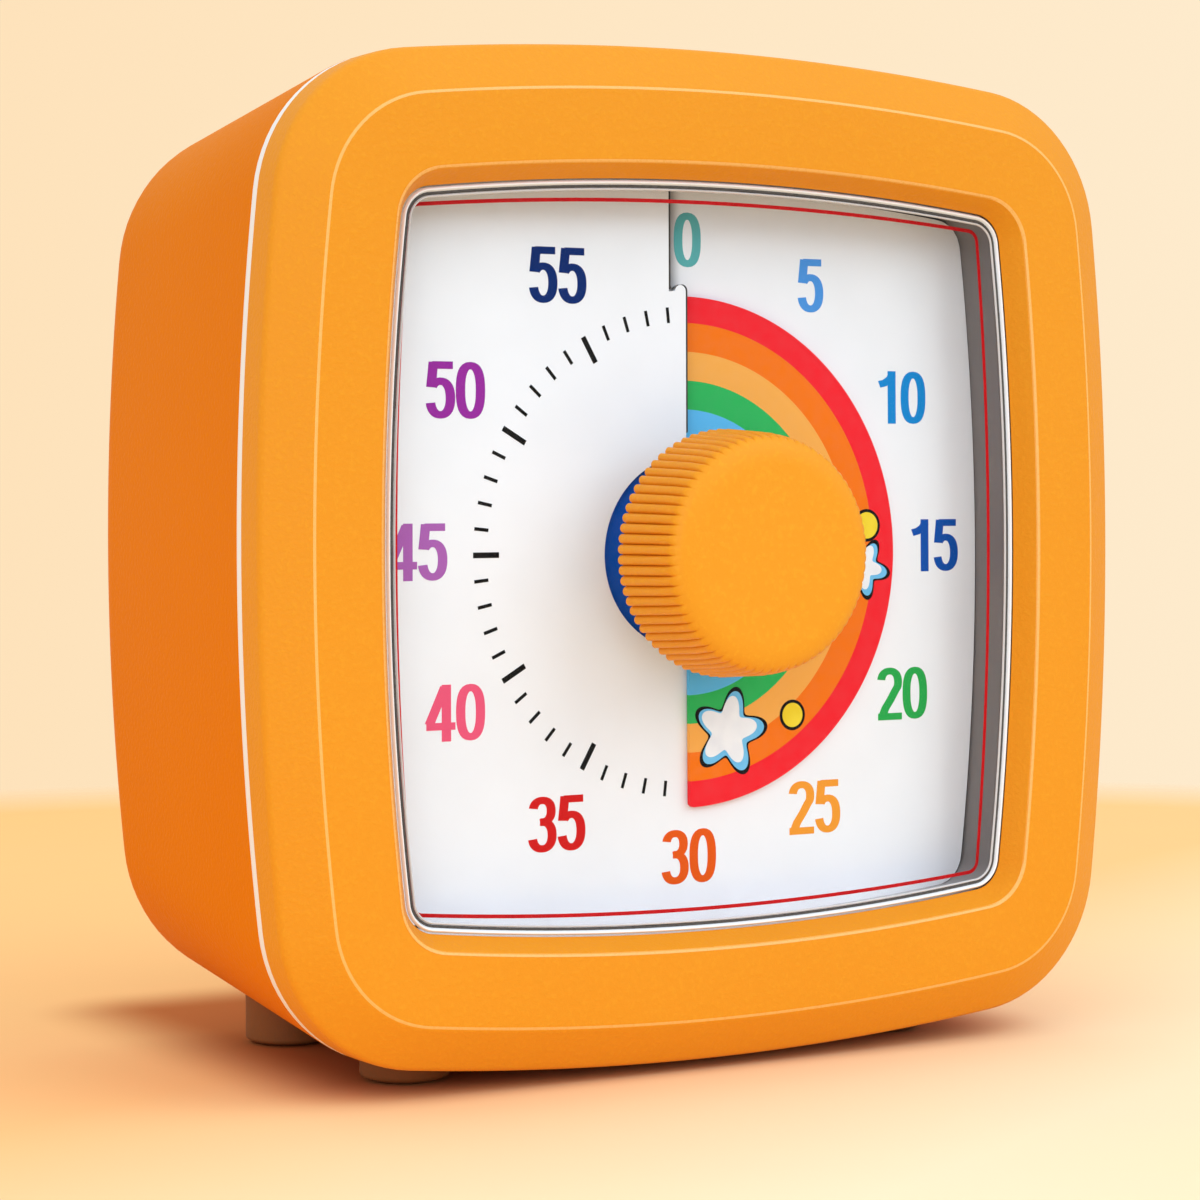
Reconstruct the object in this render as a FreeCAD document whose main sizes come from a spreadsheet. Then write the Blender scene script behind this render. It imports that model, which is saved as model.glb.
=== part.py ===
import FreeCAD, Part
import math
import os
import Sketcher

# Visual countdown timer. The front faces -Y, X points right and Z up, with the
# origin in the middle of the resting plane. Each piece is drawn about the case
# centre on the crease plane of the bezel, with y as the depth behind that
# plane, and is then placed by its Placement.

DRIVING_SIZES = {
    # Case outline, bezel and seam
    "case_half": 40.0,
    "side_bow_radius": 251.0,
    "corner_radius": 12.3,
    "corner_slack": 0.8,
    "bezel_depth": 5.4,
    "shoulder_depth": 2.16,
    "shoulder_width": 3.46,
    "shoulder_round": 1.1,
    "opening_half": 30.8,
    "opening_corner": 4.0,
    "lip_depth": 2.0,
    "lip_run": 1.15,
    "bezel_rib": 1.3,
    "seam_width": 0.45,
    "housing_depth": 35.4,
    "draft_angle": 5.0,
    "rear_round": 4.8,
    "wall": 1.8,
    "foot_gap": 0.9,
    "fit": 0.1,
    "running": 0.05,
    # Window, dial well and dial
    "window_cover": 1.6,
    "window_thickness": 1.3,
    "well_wall": 1.5,
    "dial_depth": 7.84,
    "dial_pitch": 1.4,
    "dial_plate": 0.7,
    "dial_hole": 7.8,
    "dial_overlap_angle": 8.0,
    "slit_step": 1.5,
    "slit_turn": 21.0,
    "dial_post_offset": 21.0,
    "dial_post_radius": 1.5,
    "disc_radius": 20.6,
    "disc_plate": 0.4,
    "collar_radius": 3.4,
    "collar_length": 2.0,
    "axis_height": 0.3,
    # Knob and spindle
    "knob_radius": 9.6,
    "knob_front": 6.2,
    "knob_gap": 0.9,
    "knob_round": 1.5,
    "knob_rib_count": 72,
    "knob_rib_radius": 0.34,
    "knob_boss_radius": 3.1,
    "knob_boss_length": 2.3,
    "knob_socket": 5.0,
    "window_hole": 3.6,
    "spindle_radius": 2.0,
    "spindle_flat": 1.5,
    "bush_radius": 3.4,
    "bush_flange": 5.0,
    "bush_flange_depth": 0.6,
    # Chassis and fasteners
    "chassis_depth": 9.6,
    "chassis_plate": 1.6,
    "chassis_margin": 0.5,
    "case_screw_offset": 27.0,
    "case_tube_radius": 3.2,
    "case_boss_length": 9.0,
    "case_tube_floor": 2.4,
    "bezel_screw_inset": 5.1,
    "bezel_screw_height": 16.0,
    "bezel_boss_radius": 2.0,
    "screw_radius": 1.0,
    "screw_head_radius": 1.8,
    "screw_head_depth": 1.3,
    "screw_bite": 6.0,
    "screw_head_round": 0.5,
    "screw_tip": 0.4,
    "screw_recess_half": 1.1,
    "screw_recess_web": 0.2,
    "screw_recess_depth": 0.6,
    "screw_gap": 0.15,
    "press": 0.02,
    # Movement
    "movement_across": 17.5,
    "movement_below": 16.5,
    "movement_above": 33.0,
    "movement_wall": 1.4,
    "movement_depth": 8.6,
    "movement_lid": 1.5,
    "movement_ear_reach": 2.6,
    "movement_ear_half": 2.4,
    "lid_screw_inset": 2.6,
    "lid_boss_radius": 1.9,
    "wheel_module": 0.6,
    "idler_module": 0.5,
    "wheel_teeth": 48,
    "pinion_teeth": 12,
    "wheel_face": 2.0,
    "pinion_overhang": 0.4,
    "gear_side_gap": 0.5,
    "gear_backlash": 0.2,
    "arbor_radius": 0.9,
    "motor_angle": 225.0,
    "motor_radius": 8.5,
    "motor_depth": 6.5,
    "motor_round": 0.8,
    "motor_shaft_gap": 2.2,
    "cam_radius": 4.6,
    "cam_width": 1.2,
    "cam_notch_half": 1.2,
    "cam_notch_depth": 1.0,
    "leaf_thickness": 0.3,
    "leaf_root": 2.5,
    "clip_radius": 3.2,
    "clip_width": 0.6,
    # Battery compartment
    "cell_radius": 7.25,
    "cell_length": 50.5,
    "cell_height": -13.5,
    "cell_rim_round": 0.6,
    "cell_tip_radius": 2.7,
    "cell_tip_length": 1.2,
    "bay_gap": 0.9,
    "bay_wall": 1.4,
    "contact_space": 3.2,
    "contact_plate": 0.4,
    "contact_inset": 1.2,
    "contact_dimple_half": 2.0,
    "spring_wire": 0.3,
    "coil_radius": 3.4,
    "coil_turns": 3.0,
    "door_plate": 1.6,
    "door_rim": 1.4,
    "door_tongue_across": 18.0,
    "door_tongue_half": 3.0,
    "door_tongue_reach": 1.0,
    "door_tongue_gap": 0.3,
    "door_grip_half": 5.0,
    "door_grip_inset": 3.0,
    "door_grip_pitch": 1.4,
    "door_grip_width": 0.35,
    "door_grip_depth": 0.6,
    # Circuit board and sound switch
    "board_across": 17.0,
    "board_low": 3.0,
    "board_high": 24.0,
    "board_plate": 1.2,
    "board_behind": 5.6,
    "board_post_radius": 1.8,
    "board_post_offset": 14.5,
    "board_post_inset": 3.0,
    "chip_width": 6.0,
    "chip_tall": 5.0,
    "chip_depth": 1.6,
    "crystal_radius": 1.5,
    "crystal_length": 6.0,
    "capacitor_radius": 2.5,
    "capacitor_length": 5.0,
    "switch_height": 18.5,
    "switch_width": 9.0,
    "switch_tall": 4.4,
    "switch_travel": 2.0,
    "slider_width": 3.0,
    "slider_half_tall": 1.0,
    "slider_recess": 0.9,
    "recess_margin": 1.5,
    "recess_half_tall": 2.4,
    "sounder_radius": 5.0,
    "sounder_port_depth": 2.6,
    "sounder_height": 9.0,
    "sounder_port_radius": 1.2,
    "sound_hole_radius": 0.7,
    "sound_hole_ring": 3.0,
    # Feet
    "foot_radius": 3.6,
    "foot_across": 23.0,
    "front_foot_depth": 12.0,
    "rear_foot_depth": 33.0,
    "foot_seat": 0.8,
}

DOC = FreeCAD.newDocument("CountdownTimer")
SHEET = DOC.addObject("Spreadsheet::Sheet", "Sizes")
SUB_PARTS = []

# Sizes that follow from the driving ones, as expressions on the sheet.
SEAM_FRONT = "Sizes.bezel_depth"
SEAM_BACK = "(Sizes.bezel_depth + Sizes.seam_width)"
CASE_BACK = f"({SEAM_BACK} + Sizes.housing_depth)"
BACK_WALL = f"({CASE_BACK} - Sizes.wall)"
ORIGIN_Y = f"(-({CASE_BACK} - Sizes.knob_front) / 2)"
ORIGIN_Z = "(Sizes.case_half + Sizes.foot_gap)"
AXIS_Z = "Sizes.axis_height"
WINDOW_HALF = "(Sizes.opening_half - Sizes.lip_run + Sizes.window_cover)"
WINDOW_CORNER = "(Sizes.opening_corner - Sizes.lip_run + Sizes.window_cover)"
WINDOW_BACK = "(Sizes.lip_depth + Sizes.window_thickness)"
DIAL_HALF = f"({WINDOW_HALF} - Sizes.well_wall - Sizes.fit)"
CHASSIS_BACK = "(Sizes.chassis_depth + Sizes.chassis_plate)"
CHASSIS_HALF = (f"(Sizes.case_half - ({CHASSIS_BACK} - {SEAM_BACK})"
                " * tan(Sizes.draft_angle * 1 deg) - Sizes.wall - Sizes.chassis_margin)")
KNOB_BACK = "(Sizes.lip_depth - Sizes.knob_gap)"
BOSS_BACK = f"({KNOB_BACK} + Sizes.knob_gap + Sizes.knob_boss_length)"
TUBE_FRONT = f"({CHASSIS_BACK} + Sizes.case_boss_length)"
MOVEMENT_BACK = f"({CHASSIS_BACK} + Sizes.movement_depth)"
LID_BACK = f"({MOVEMENT_BACK} + Sizes.movement_lid)"
WHEEL_FRONT = f"({CHASSIS_BACK} + Sizes.movement_wall + Sizes.gear_side_gap)"
WHEEL_BACK = f"({WHEEL_FRONT} + Sizes.wheel_face)"
IDLER_FRONT = f"({WHEEL_BACK} + Sizes.gear_side_gap)"
WHEEL_REACH = "(Sizes.wheel_module * (Sizes.wheel_teeth + Sizes.pinion_teeth) / 2)"
IDLER_REACH = "(Sizes.idler_module * (Sizes.wheel_teeth + Sizes.pinion_teeth) / 2)"
IDLER_Z = f"({AXIS_Z} + {WHEEL_REACH})"
MOTOR_X = f"({IDLER_REACH} * sin(Sizes.motor_angle * 1 deg))"
MOTOR_Z = f"({IDLER_Z} + {IDLER_REACH} * cos(Sizes.motor_angle * 1 deg))"
BAY_HALF = "(Sizes.cell_length / 2 + Sizes.contact_space)"
BAY_TALL = "(Sizes.cell_radius + Sizes.bay_gap)"
BAY_FRONT = f"({BACK_WALL} - 2 * Sizes.cell_radius - 0.4)"
CELL_DEPTH = f"({BACK_WALL} - 0.2 - Sizes.cell_radius)"
DOOR_FRONT = f"({CASE_BACK} - Sizes.door_plate)"
BOARD_BACK = f"({BACK_WALL} - Sizes.board_behind)"
BOARD_FRONT = f"({BOARD_BACK} - Sizes.board_plate)"
BOARD_HOLES = [(f"{side}Sizes.board_post_offset", level) for side in ("", "-")
               for level in ("(Sizes.board_low + Sizes.board_post_inset)",
                             "(Sizes.board_high - Sizes.board_post_inset)")]
BEZEL_SCREW_X = "(Sizes.case_half - Sizes.bezel_screw_inset)"
SLOT_LEVELS = ("(Sizes.switch_height - Sizes.slider_half_tall - Sizes.fit)",
               "(Sizes.switch_height + Sizes.slider_half_tall + Sizes.fit)")
SPINDLE_BACK = f"({LID_BACK} + 2 * Sizes.clip_width + 0.6)"


def fill_sheet():
    """Write the driving sizes as plain numbers with aliases."""
    for row, (alias, number) in enumerate(DRIVING_SIZES.items(), start=1):
        SHEET.set(f"A{row}", alias)
        SHEET.set(f"B{row}", str(number))
        SHEET.setAlias(f"B{row}", alias)
    DOC.recompute()


def value(expression):
    """Evaluate an expression on the sheet as a plain number."""
    return float(SHEET.evalExpression(str(expression)))


def register(item, label, x="0", y="0", z="0"):
    """Name a finished sub-part and place it about the case centre."""
    item.Label = label
    item.setExpression("Placement.Base.x", str(x))
    item.setExpression("Placement.Base.y", f"{ORIGIN_Y} + {y}")
    item.setExpression("Placement.Base.z", f"{ORIGIN_Z} + {z}")
    SUB_PARTS.append(item)
    return item


def new_body(name):
    """Make an empty body."""
    return DOC.addObject("PartDesign::Body", f"{name}_body")


def plane_sketch(body, depth, role="XZ_Plane"):
    """Attach a sketch to a plane of the body, this far behind it."""
    sketch = body.newObject("Sketcher::SketchObject", "Section")
    plane = next(item for item in body.Origin.OriginFeatures if item.Role == role)
    sketch.AttachmentSupport = (plane, [""])
    sketch.MapMode = "FlatFace"
    sign = "-" if role == "XZ_Plane" else ""
    sketch.setExpression("AttachmentOffset.Base.z", f"{sign}({depth})")
    return sketch


def bind(sketch, expression, kind, *places):
    """Add a constraint whose value follows an expression."""
    number = value(expression)
    index = sketch.addConstraint(Sketcher.Constraint(kind, *places, number))
    name = f"size_{index}"
    sketch.renameConstraint(index, name)
    sketch.setExpression(f"Constraints.{name}", str(expression))


def draw_circle(sketch, x, z, radius):
    """Draw a circle that is held by expressions."""
    centre = FreeCAD.Vector(value(x), value(z), 0)
    circle = Part.Circle(centre, FreeCAD.Vector(0, 0, 1), value(radius))
    index = sketch.addGeometry(circle, False)
    bind(sketch, radius, "Radius", index)
    hold_point(sketch, index, 3, x, z)


def hold_point(sketch, index, place, x, z):
    """Hold one point of a sketch at a position from its origin."""
    for kind, expression, axis in (("DistanceX", x, -2), ("DistanceY", z, -1)):
        if abs(value(expression)) < 1e-9:
            sketch.addConstraint(Sketcher.Constraint("PointOnObject", index, place, axis))
        else:
            bind(sketch, expression, kind, -1, 1, index, place)


def draw_polygon(sketch, points):
    """Draw a closed outline of straight lines through held points."""
    count = len(points)
    corners = [FreeCAD.Vector(value(x), value(z), 0) for x, z in points]
    first = sketch.GeometryCount
    for number in range(count):
        line = Part.LineSegment(corners[number], corners[(number + 1) % count])
        sketch.addGeometry(line, False)
    for number in range(count):
        following = first + (number + 1) % count
        sketch.addConstraint(
            Sketcher.Constraint("Coincident", first + number, 2, following, 1))
    for number, (x, z) in enumerate(points):
        hold_point(sketch, first + number, 1, x, z)


def draw_box(sketch, x0, x1, z0, z1):
    """Draw a rectangle between held limits."""
    draw_polygon(sketch, [(x0, z0), (x1, z0), (x1, z1), (x0, z1)])


def draw_outline(sketch, half, corner=None):
    """Draw the bowed square: four wide arcs, with round or sharp corners."""
    bow = bow_of(half)
    half_now, bow_now = value(half), value(bow)
    corner_now = value(corner) if corner else 0.0
    back_off = half_now - bow_now
    reach = bow_now - corner_now
    centre_now = (back_off + math.sqrt(2 * reach ** 2 - back_off ** 2)) / 2
    sweep = math.atan2(centre_now, centre_now - back_off)
    first = sketch.GeometryCount
    arcs = []
    for side in range(4):
        turn = side * math.pi / 2
        arcs.append((back_off, 0.0, bow_now, turn, -sweep, sweep))
        if corner:
            arcs.append((centre_now, centre_now, corner_now, turn, sweep, math.pi / 2 - sweep))
    for x, z, radius, turn, start, end in arcs:
        centre = FreeCAD.Vector(x * math.cos(turn) - z * math.sin(turn),
                                x * math.sin(turn) + z * math.cos(turn), 0)
        circle = Part.Circle(centre, FreeCAD.Vector(0, 0, 1), radius)
        sketch.addGeometry(Part.ArcOfCircle(circle, turn + start, turn + end), False)
    joint = "Tangent" if corner else "Coincident"
    step = 2 if corner else 1
    for number in range(len(arcs)):
        following = first + (number + 1) % len(arcs)
        sketch.addConstraint(Sketcher.Constraint(joint, first + number, 2, following, 1))
    for side in range(4):
        index = first + side * step
        axis = -1 if side % 2 == 0 else -2
        sketch.addConstraint(Sketcher.Constraint("PointOnObject", index, 3, axis))
        bind(sketch, bow, "Radius", index)
        bind(sketch, f"{bow} - {half}", "Distance", index, 3, -1, 1)
        if corner:
            bind(sketch, corner, "Radius", index + 1)


def bow_of(half):
    """Bow radius of an outline that lies inside the case outline."""
    return f"(Sizes.side_bow_radius - (Sizes.case_half - {half}))"


def pad(body, sketch, length, taper=None):
    """Extrude a sketch backwards. A positive taper widens it."""
    feature = body.newObject("PartDesign::Pad", "Pad")
    feature.Profile = sketch
    feature.Reversed = True
    feature.setExpression("Length", str(length))
    if taper:
        feature.setExpression("TaperAngle", str(taper))
    DOC.recompute()
    return feature


def pocket(body, sketch, length, taper=None):
    """Cut a sketch backwards from its plane, and check that it cuts."""
    before = body.Shape.Volume
    feature = body.newObject("PartDesign::Pocket", "Pocket")
    feature.Profile = sketch
    feature.setExpression("Length", str(length))
    if taper:
        feature.setExpression("TaperAngle", str(taper))
    DOC.recompute()
    if body.Shape.Volume >= before:
        raise ValueError(f"{body.Name}: {feature.Name} removes nothing")
    return feature


def polar(body, feature, count, angle="360"):
    """Repeat a feature about the depth axis."""
    pattern = body.newObject("PartDesign::PolarPattern", "Polar")
    pattern.Originals = [feature]
    axis = next(item for item in body.Origin.OriginFeatures if item.Role == "Y_Axis")
    pattern.Axis = (axis, [""])
    pattern.Angle = float(angle)
    pattern.setExpression("Occurrences", str(count))
    body.Tip = pattern
    DOC.recompute()
    return pattern


def fillet(body, feature, radius, test):
    """Round the edges of a feature that a test picks."""
    names = edge_names(feature, test)
    rounded = body.newObject("PartDesign::Fillet", "Round")
    rounded.Base = (feature, names)
    rounded.setExpression("Radius", str(radius))
    DOC.recompute()
    return rounded


def chamfer(body, feature, size, test):
    """Bevel the edges of a feature that a test picks."""
    names = edge_names(feature, test)
    bevel = body.newObject("PartDesign::Chamfer", "Bevel")
    bevel.Base = (feature, names)
    bevel.setExpression("Size", str(size))
    DOC.recompute()
    return bevel


def edge_names(feature, test):
    """List the names of the edges that pass a test."""
    names = []
    for number, edge in enumerate(feature.Shape.Edges, start=1):
        if test(edge):
            names.append(f"Edge{number}")
    if not names:
        raise ValueError(f"{feature.Name}: no edge fits the test")
    return names


def ends(edge):
    """First and last point of an edge."""
    return edge.valueAt(edge.FirstParameter), edge.valueAt(edge.LastParameter)


def corner_edge(inner=0.0, outer=1e6):
    """Test for the edges that run back along the outline's corners."""
    def test(edge):
        first, last = ends(edge)
        on_diagonal = all(abs(abs(p.x) - abs(p.z)) < 1e-3 for p in (first, last))
        runs_back = abs(first.y - last.y) > 0.1
        return on_diagonal and runs_back and inner < abs(first.x) < outer
    return test


def edge_at_depth(depth, inner=0.0, outer=1e6):
    """Test for the edges that lie in a plane at this depth."""
    level = value(depth)

    def test(edge):
        box = edge.BoundBox
        flat = abs(box.YMin - level) < 1e-3 and abs(box.YMax - level) < 1e-3
        middle = edge.valueAt((edge.FirstParameter + edge.LastParameter) / 2)
        reach = max(abs(middle.x), abs(middle.z))
        return flat and inner < reach < outer
    return test


def bowed_block(body, depth, length, half, corner, taper=None):
    """Pad the bowed square with round corners."""
    sketch = plane_sketch(body, depth)
    draw_outline(sketch, half, corner)
    return pad(body, sketch, length, taper)


def bowed_cut(body, depth, length, half, corner, taper=None):
    """Cut the bowed square with round corners."""
    sketch = plane_sketch(body, depth)
    draw_outline(sketch, half, corner)
    return pocket(body, sketch, length, taper)


def add_cylinder(body, depth, length, x, z, radius):
    """Pad a round boss."""
    sketch = plane_sketch(body, depth)
    draw_circle(sketch, x, z, radius)
    return pad(body, sketch, length)


def cut_cylinder(body, depth, length, x, z, radius):
    """Cut a round hole."""
    sketch = plane_sketch(body, depth)
    draw_circle(sketch, x, z, radius)
    return pocket(body, sketch, length)


def add_block(body, depth, length, x0, x1, z0, z1):
    """Pad a rectangular block."""
    sketch = plane_sketch(body, depth)
    draw_box(sketch, x0, x1, z0, z1)
    return pad(body, sketch, length)


def cut_block(body, depth, length, x0, x1, z0, z1):
    """Cut a rectangular pocket."""
    sketch = plane_sketch(body, depth)
    draw_box(sketch, x0, x1, z0, z1)
    return pocket(body, sketch, length)


def four_corners(across, height):
    """The four sign combinations of a position."""
    return [(f"{a}{across}", f"{b}{height}") for a in ("", "-") for b in ("", "-")]


def grouped(name, items):
    """Gather separate solids in one sub-part."""
    compound = DOC.addObject("Part::Compound", name)
    compound.Links = items
    DOC.recompute()
    return compound


def make_front_bezel():
    """Front frame: sloping shoulder, flat face, window seat and screw bosses."""
    body = new_body("front_bezel")
    shoulder = "atan(Sizes.shoulder_width / Sizes.shoulder_depth)"
    bowed_block(body, "0", "Sizes.shoulder_depth", "(Sizes.case_half - Sizes.shoulder_width)",
                "(Sizes.corner_radius - Sizes.shoulder_width)", shoulder)
    side = bowed_block(body, "Sizes.shoulder_depth", "Sizes.bezel_depth - Sizes.shoulder_depth",
                       "Sizes.case_half", "Sizes.corner_radius")
    fillet(body, side, "Sizes.shoulder_round", edge_at_depth("Sizes.shoulder_depth", 25))
    slope = "-atan(Sizes.lip_run / Sizes.lip_depth)"
    bowed_cut(body, "0", "Sizes.lip_depth", "Sizes.opening_half", "Sizes.opening_corner", slope)
    bowed_cut(body, "Sizes.lip_depth", SEAM_FRONT, f"({WINDOW_HALF} + Sizes.fit)",
              f"({WINDOW_CORNER} + Sizes.fit)")
    channel = plane_sketch(body, "Sizes.lip_depth + 0.6")
    draw_outline(channel, "(Sizes.case_half - Sizes.wall)", "(Sizes.corner_radius - Sizes.wall)")
    rib = "(Sizes.fit + Sizes.bezel_rib)"
    draw_outline(channel, f"({WINDOW_HALF} + {rib})", f"({WINDOW_CORNER} + {rib})")
    pocket(body, channel, SEAM_FRONT)
    boss_length = "Sizes.chassis_depth - Sizes.lip_depth - 0.5"
    for x, z in four_corners(BEZEL_SCREW_X, "Sizes.bezel_screw_height"):
        add_cylinder(body, "Sizes.lip_depth + 0.5", boss_length, x, z, "Sizes.bezel_boss_radius")
    hole_depth = "Sizes.chassis_depth - Sizes.screw_bite"
    for x, z in four_corners(BEZEL_SCREW_X, "Sizes.bezel_screw_height"):
        cut_cylinder(body, hole_depth, "Sizes.screw_bite", x, z, "Sizes.screw_radius + Sizes.press")
    register(body, "front_bezel")


def make_seam_ring():
    body = new_body("seam_ring")
    bowed_block(body, SEAM_FRONT, "Sizes.seam_width", "Sizes.case_half", "Sizes.corner_radius")
    bowed_cut(body, SEAM_FRONT, "Sizes.seam_width", "(Sizes.case_half - Sizes.wall)",
              "(Sizes.corner_radius - Sizes.wall)")
    register(body, "seam_ring")


def make_rear_housing():
    body = new_body("rear_housing")
    sketch = plane_sketch(body, SEAM_BACK)
    draw_outline(sketch, "Sizes.case_half")
    block = pad(body, sketch, "Sizes.housing_depth", "-Sizes.draft_angle")
    block = fillet(body, block, "Sizes.corner_radius", corner_edge())
    fillet(body, block, "Sizes.rear_round", edge_at_depth(CASE_BACK))
    bowed_cut(body, SEAM_BACK, "Sizes.housing_depth - Sizes.wall", "(Sizes.case_half - Sizes.wall)",
              "(Sizes.corner_radius + Sizes.corner_slack)", "-Sizes.draft_angle")
    add_bay(body)
    add_case_tubes(body)
    for x, z in BOARD_HOLES:
        add_cylinder(body, BOARD_BACK, "Sizes.board_behind + 0.5", x, z,
                     "Sizes.board_post_radius")
        cut_cylinder(body, BOARD_BACK, "Sizes.board_behind - 0.4", x, z,
                     "Sizes.screw_radius + Sizes.press")
    cut_switch_slot(body)
    cut_sound_holes(body)
    cut_foot_seats(body)
    register(body, "rear_housing")


def add_bay(body):
    """Battery compartment: a tray inside the back wall, open to the rear."""
    outer = (f"-({BAY_HALF} + Sizes.bay_wall)", f"({BAY_HALF} + Sizes.bay_wall)",
             f"(Sizes.cell_height - {BAY_TALL} - Sizes.bay_wall)",
             f"(Sizes.cell_height + {BAY_TALL} + Sizes.bay_wall)")
    inner = (f"-{BAY_HALF}", BAY_HALF, f"(Sizes.cell_height - {BAY_TALL})",
             f"(Sizes.cell_height + {BAY_TALL})")
    floor = f"({BAY_FRONT} - Sizes.bay_wall)"
    add_block(body, floor, f"{BACK_WALL} - {floor} + 0.2", *outer)
    cut_block(body, BAY_FRONT, "30", *inner)
    rim = "(Sizes.door_rim)"
    recess = (f"(-{BAY_HALF} - {rim})", f"({BAY_HALF} + {rim})",
              f"(Sizes.cell_height - {BAY_TALL})",
              f"(Sizes.cell_height + {BAY_TALL} + {rim})")
    cut_block(body, DOOR_FRONT, "10", *recess)
    half = "(Sizes.door_tongue_half + Sizes.door_tongue_gap)"
    depth = "(Sizes.door_tongue_reach + 2 * Sizes.door_tongue_gap)"
    for side in ("", "-"):
        middle = f"{side}Sizes.door_tongue_across"
        cut_block(body, f"{DOOR_FRONT} - {depth}", depth, f"({middle} - {half})",
                  f"({middle} + {half})", f"{recess[2]} - {depth}", f"{recess[2]} + 0.5")


def add_case_tubes(body):
    """Screw tubes from the back wall to the chassis bosses."""
    for x, z in four_corners("Sizes.case_screw_offset", "Sizes.case_screw_offset"):
        add_cylinder(body, TUBE_FRONT, f"{BACK_WALL} - {TUBE_FRONT} + 0.2", x, z,
                     "Sizes.case_tube_radius")
        cut_cylinder(body, TUBE_FRONT, "60", x, z, "Sizes.screw_radius + Sizes.screw_gap")
        cut_cylinder(body, f"{TUBE_FRONT} + Sizes.case_tube_floor", "60", x, z,
                     "Sizes.screw_head_radius + 0.3")


def cut_switch_slot(body):
    """Slot for the sound slider, in a finger recess of the back wall."""
    reach = "(Sizes.switch_travel + Sizes.slider_width / 2 + 0.3)"
    margin = "Sizes.recess_margin"
    cut_block(body, BACK_WALL + " - 1", "10", f"-{reach}", reach, *SLOT_LEVELS)
    cut_block(body, f"{CASE_BACK} - Sizes.slider_recess", "5", f"-{reach} - {margin}",
              f"{reach} + {margin}", "Sizes.switch_height - Sizes.recess_half_tall",
              "Sizes.switch_height + Sizes.recess_half_tall")


def cut_sound_holes(body):
    """Ring of sound holes in front of the sounder, round a centre hole."""
    cut_cylinder(body, BACK_WALL + " - 1", "10", "0", "Sizes.sounder_height",
                 "Sizes.sound_hole_radius")
    for number in range(6):
        turn = math.radians(60 * number)
        x = f"Sizes.sound_hole_ring * {math.cos(turn):.6f}"
        z = f"(Sizes.sounder_height + Sizes.sound_hole_ring * {math.sin(turn):.6f})"
        cut_cylinder(body, BACK_WALL + " - 1", "10", x, z, "Sizes.sound_hole_radius")


def underside(depth):
    """Height of the housing's underside at a foot, from the case centre."""
    lean = f"(({depth} - {SEAM_BACK}) * tan(Sizes.draft_angle * 1 deg))"
    bow = "(Sizes.foot_across ^ 2 / (2 * Sizes.side_bow_radius))"
    return f"(-Sizes.case_half + {lean} + {bow})"


def cut_foot_seats(body):
    """Round seats for the feet in the underside."""
    plane_role = "XY_Plane"
    for depth in ("Sizes.front_foot_depth", "Sizes.rear_foot_depth"):
        for side in ("", "-"):
            level = f"({underside(depth)} + Sizes.foot_seat)"
            sketch = plane_sketch(body, level, plane_role)
            draw_circle(sketch, f"{side}Sizes.foot_across", depth, "Sizes.foot_radius + Sizes.press")
            pocket(body, sketch, "20")


def make_window():
    body = new_body("window_lens")
    block = bowed_block(body, "Sizes.lip_depth", "Sizes.window_thickness", WINDOW_HALF,
                        WINDOW_CORNER)
    chamfer(body, block, "0.3", edge_at_depth("Sizes.lip_depth"))
    cut_cylinder(body, "Sizes.lip_depth", "Sizes.window_thickness", "0", AXIS_Z,
                 "Sizes.window_hole")
    register(body, "window_lens")


def make_well():
    body = new_body("dial_well")
    length = f"(Sizes.chassis_depth - {WINDOW_BACK})"
    bowed_block(body, WINDOW_BACK, length, WINDOW_HALF, WINDOW_CORNER)
    bowed_cut(body, WINDOW_BACK, length, f"({WINDOW_HALF} - Sizes.well_wall)",
              f"({WINDOW_CORNER} - Sizes.well_wall)")
    register(body, "dial_well")


def helical_plate(name, inner, outer, thickness, turn_angle):
    """Make a plate that climbs towards the front as it runs clockwise.

    The plate starts at 12 o'clock. Its middle surface starts in the
    plane y = 0 and gains one dial pitch in a full turn.
    """
    edges = []
    for radius in (inner, outer):
        helix = DOC.addObject("Part::Helix", f"{name}_helix")
        helix.LocalCoord = "Left-handed"
        helix.setExpression("Pitch", "Sizes.dial_pitch")
        helix.setExpression("Height", f"Sizes.dial_pitch * ({turn_angle}) / 360")
        helix.setExpression("Radius", str(radius))
        edges.append(helix)
    DOC.recompute()
    surface = DOC.addObject("Part::RuledSurface", f"{name}_surface")
    surface.Curve1 = (edges[0], ["Edge1"])
    surface.Curve2 = (edges[1], ["Edge1"])
    DOC.recompute()
    plate = DOC.addObject("Part::Extrusion", f"{name}_plate")
    plate.Base = surface
    plate.DirMode = "Custom"
    plate.Dir = FreeCAD.Vector(0, 0, 1)
    plate.Solid = True
    plate.setExpression("LengthFwd", f"({thickness}) / 2")
    plate.setExpression("LengthRev", f"({thickness}) / 2")
    DOC.recompute()
    return plate


HELIX_FRAME = FreeCAD.Rotation(FreeCAD.Vector(0, 0, 1), FreeCAD.Vector(-1, 0, 0),
                               FreeCAD.Vector(0, -1, 0), "ZXY")


def face_forward(item, start_angle, depth, height):
    """Stand a helical plate up so that it starts at an angle from 12 o'clock."""
    start = FreeCAD.Rotation(FreeCAD.Vector(0, 1, 0), value(start_angle))
    item.Placement = FreeCAD.Placement(FreeCAD.Vector(0, 0, 0), start.multiply(HELIX_FRAME))
    item.setExpression("Placement.Base.y", str(depth))
    item.setExpression("Placement.Base.z", str(height))


def boolean(kind, name, base, tool):
    """Cut, fuse or intersect two objects."""
    item = DOC.addObject(f"Part::{kind}", name)
    item.Base = base
    item.Tool = tool
    DOC.recompute()
    return item


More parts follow.
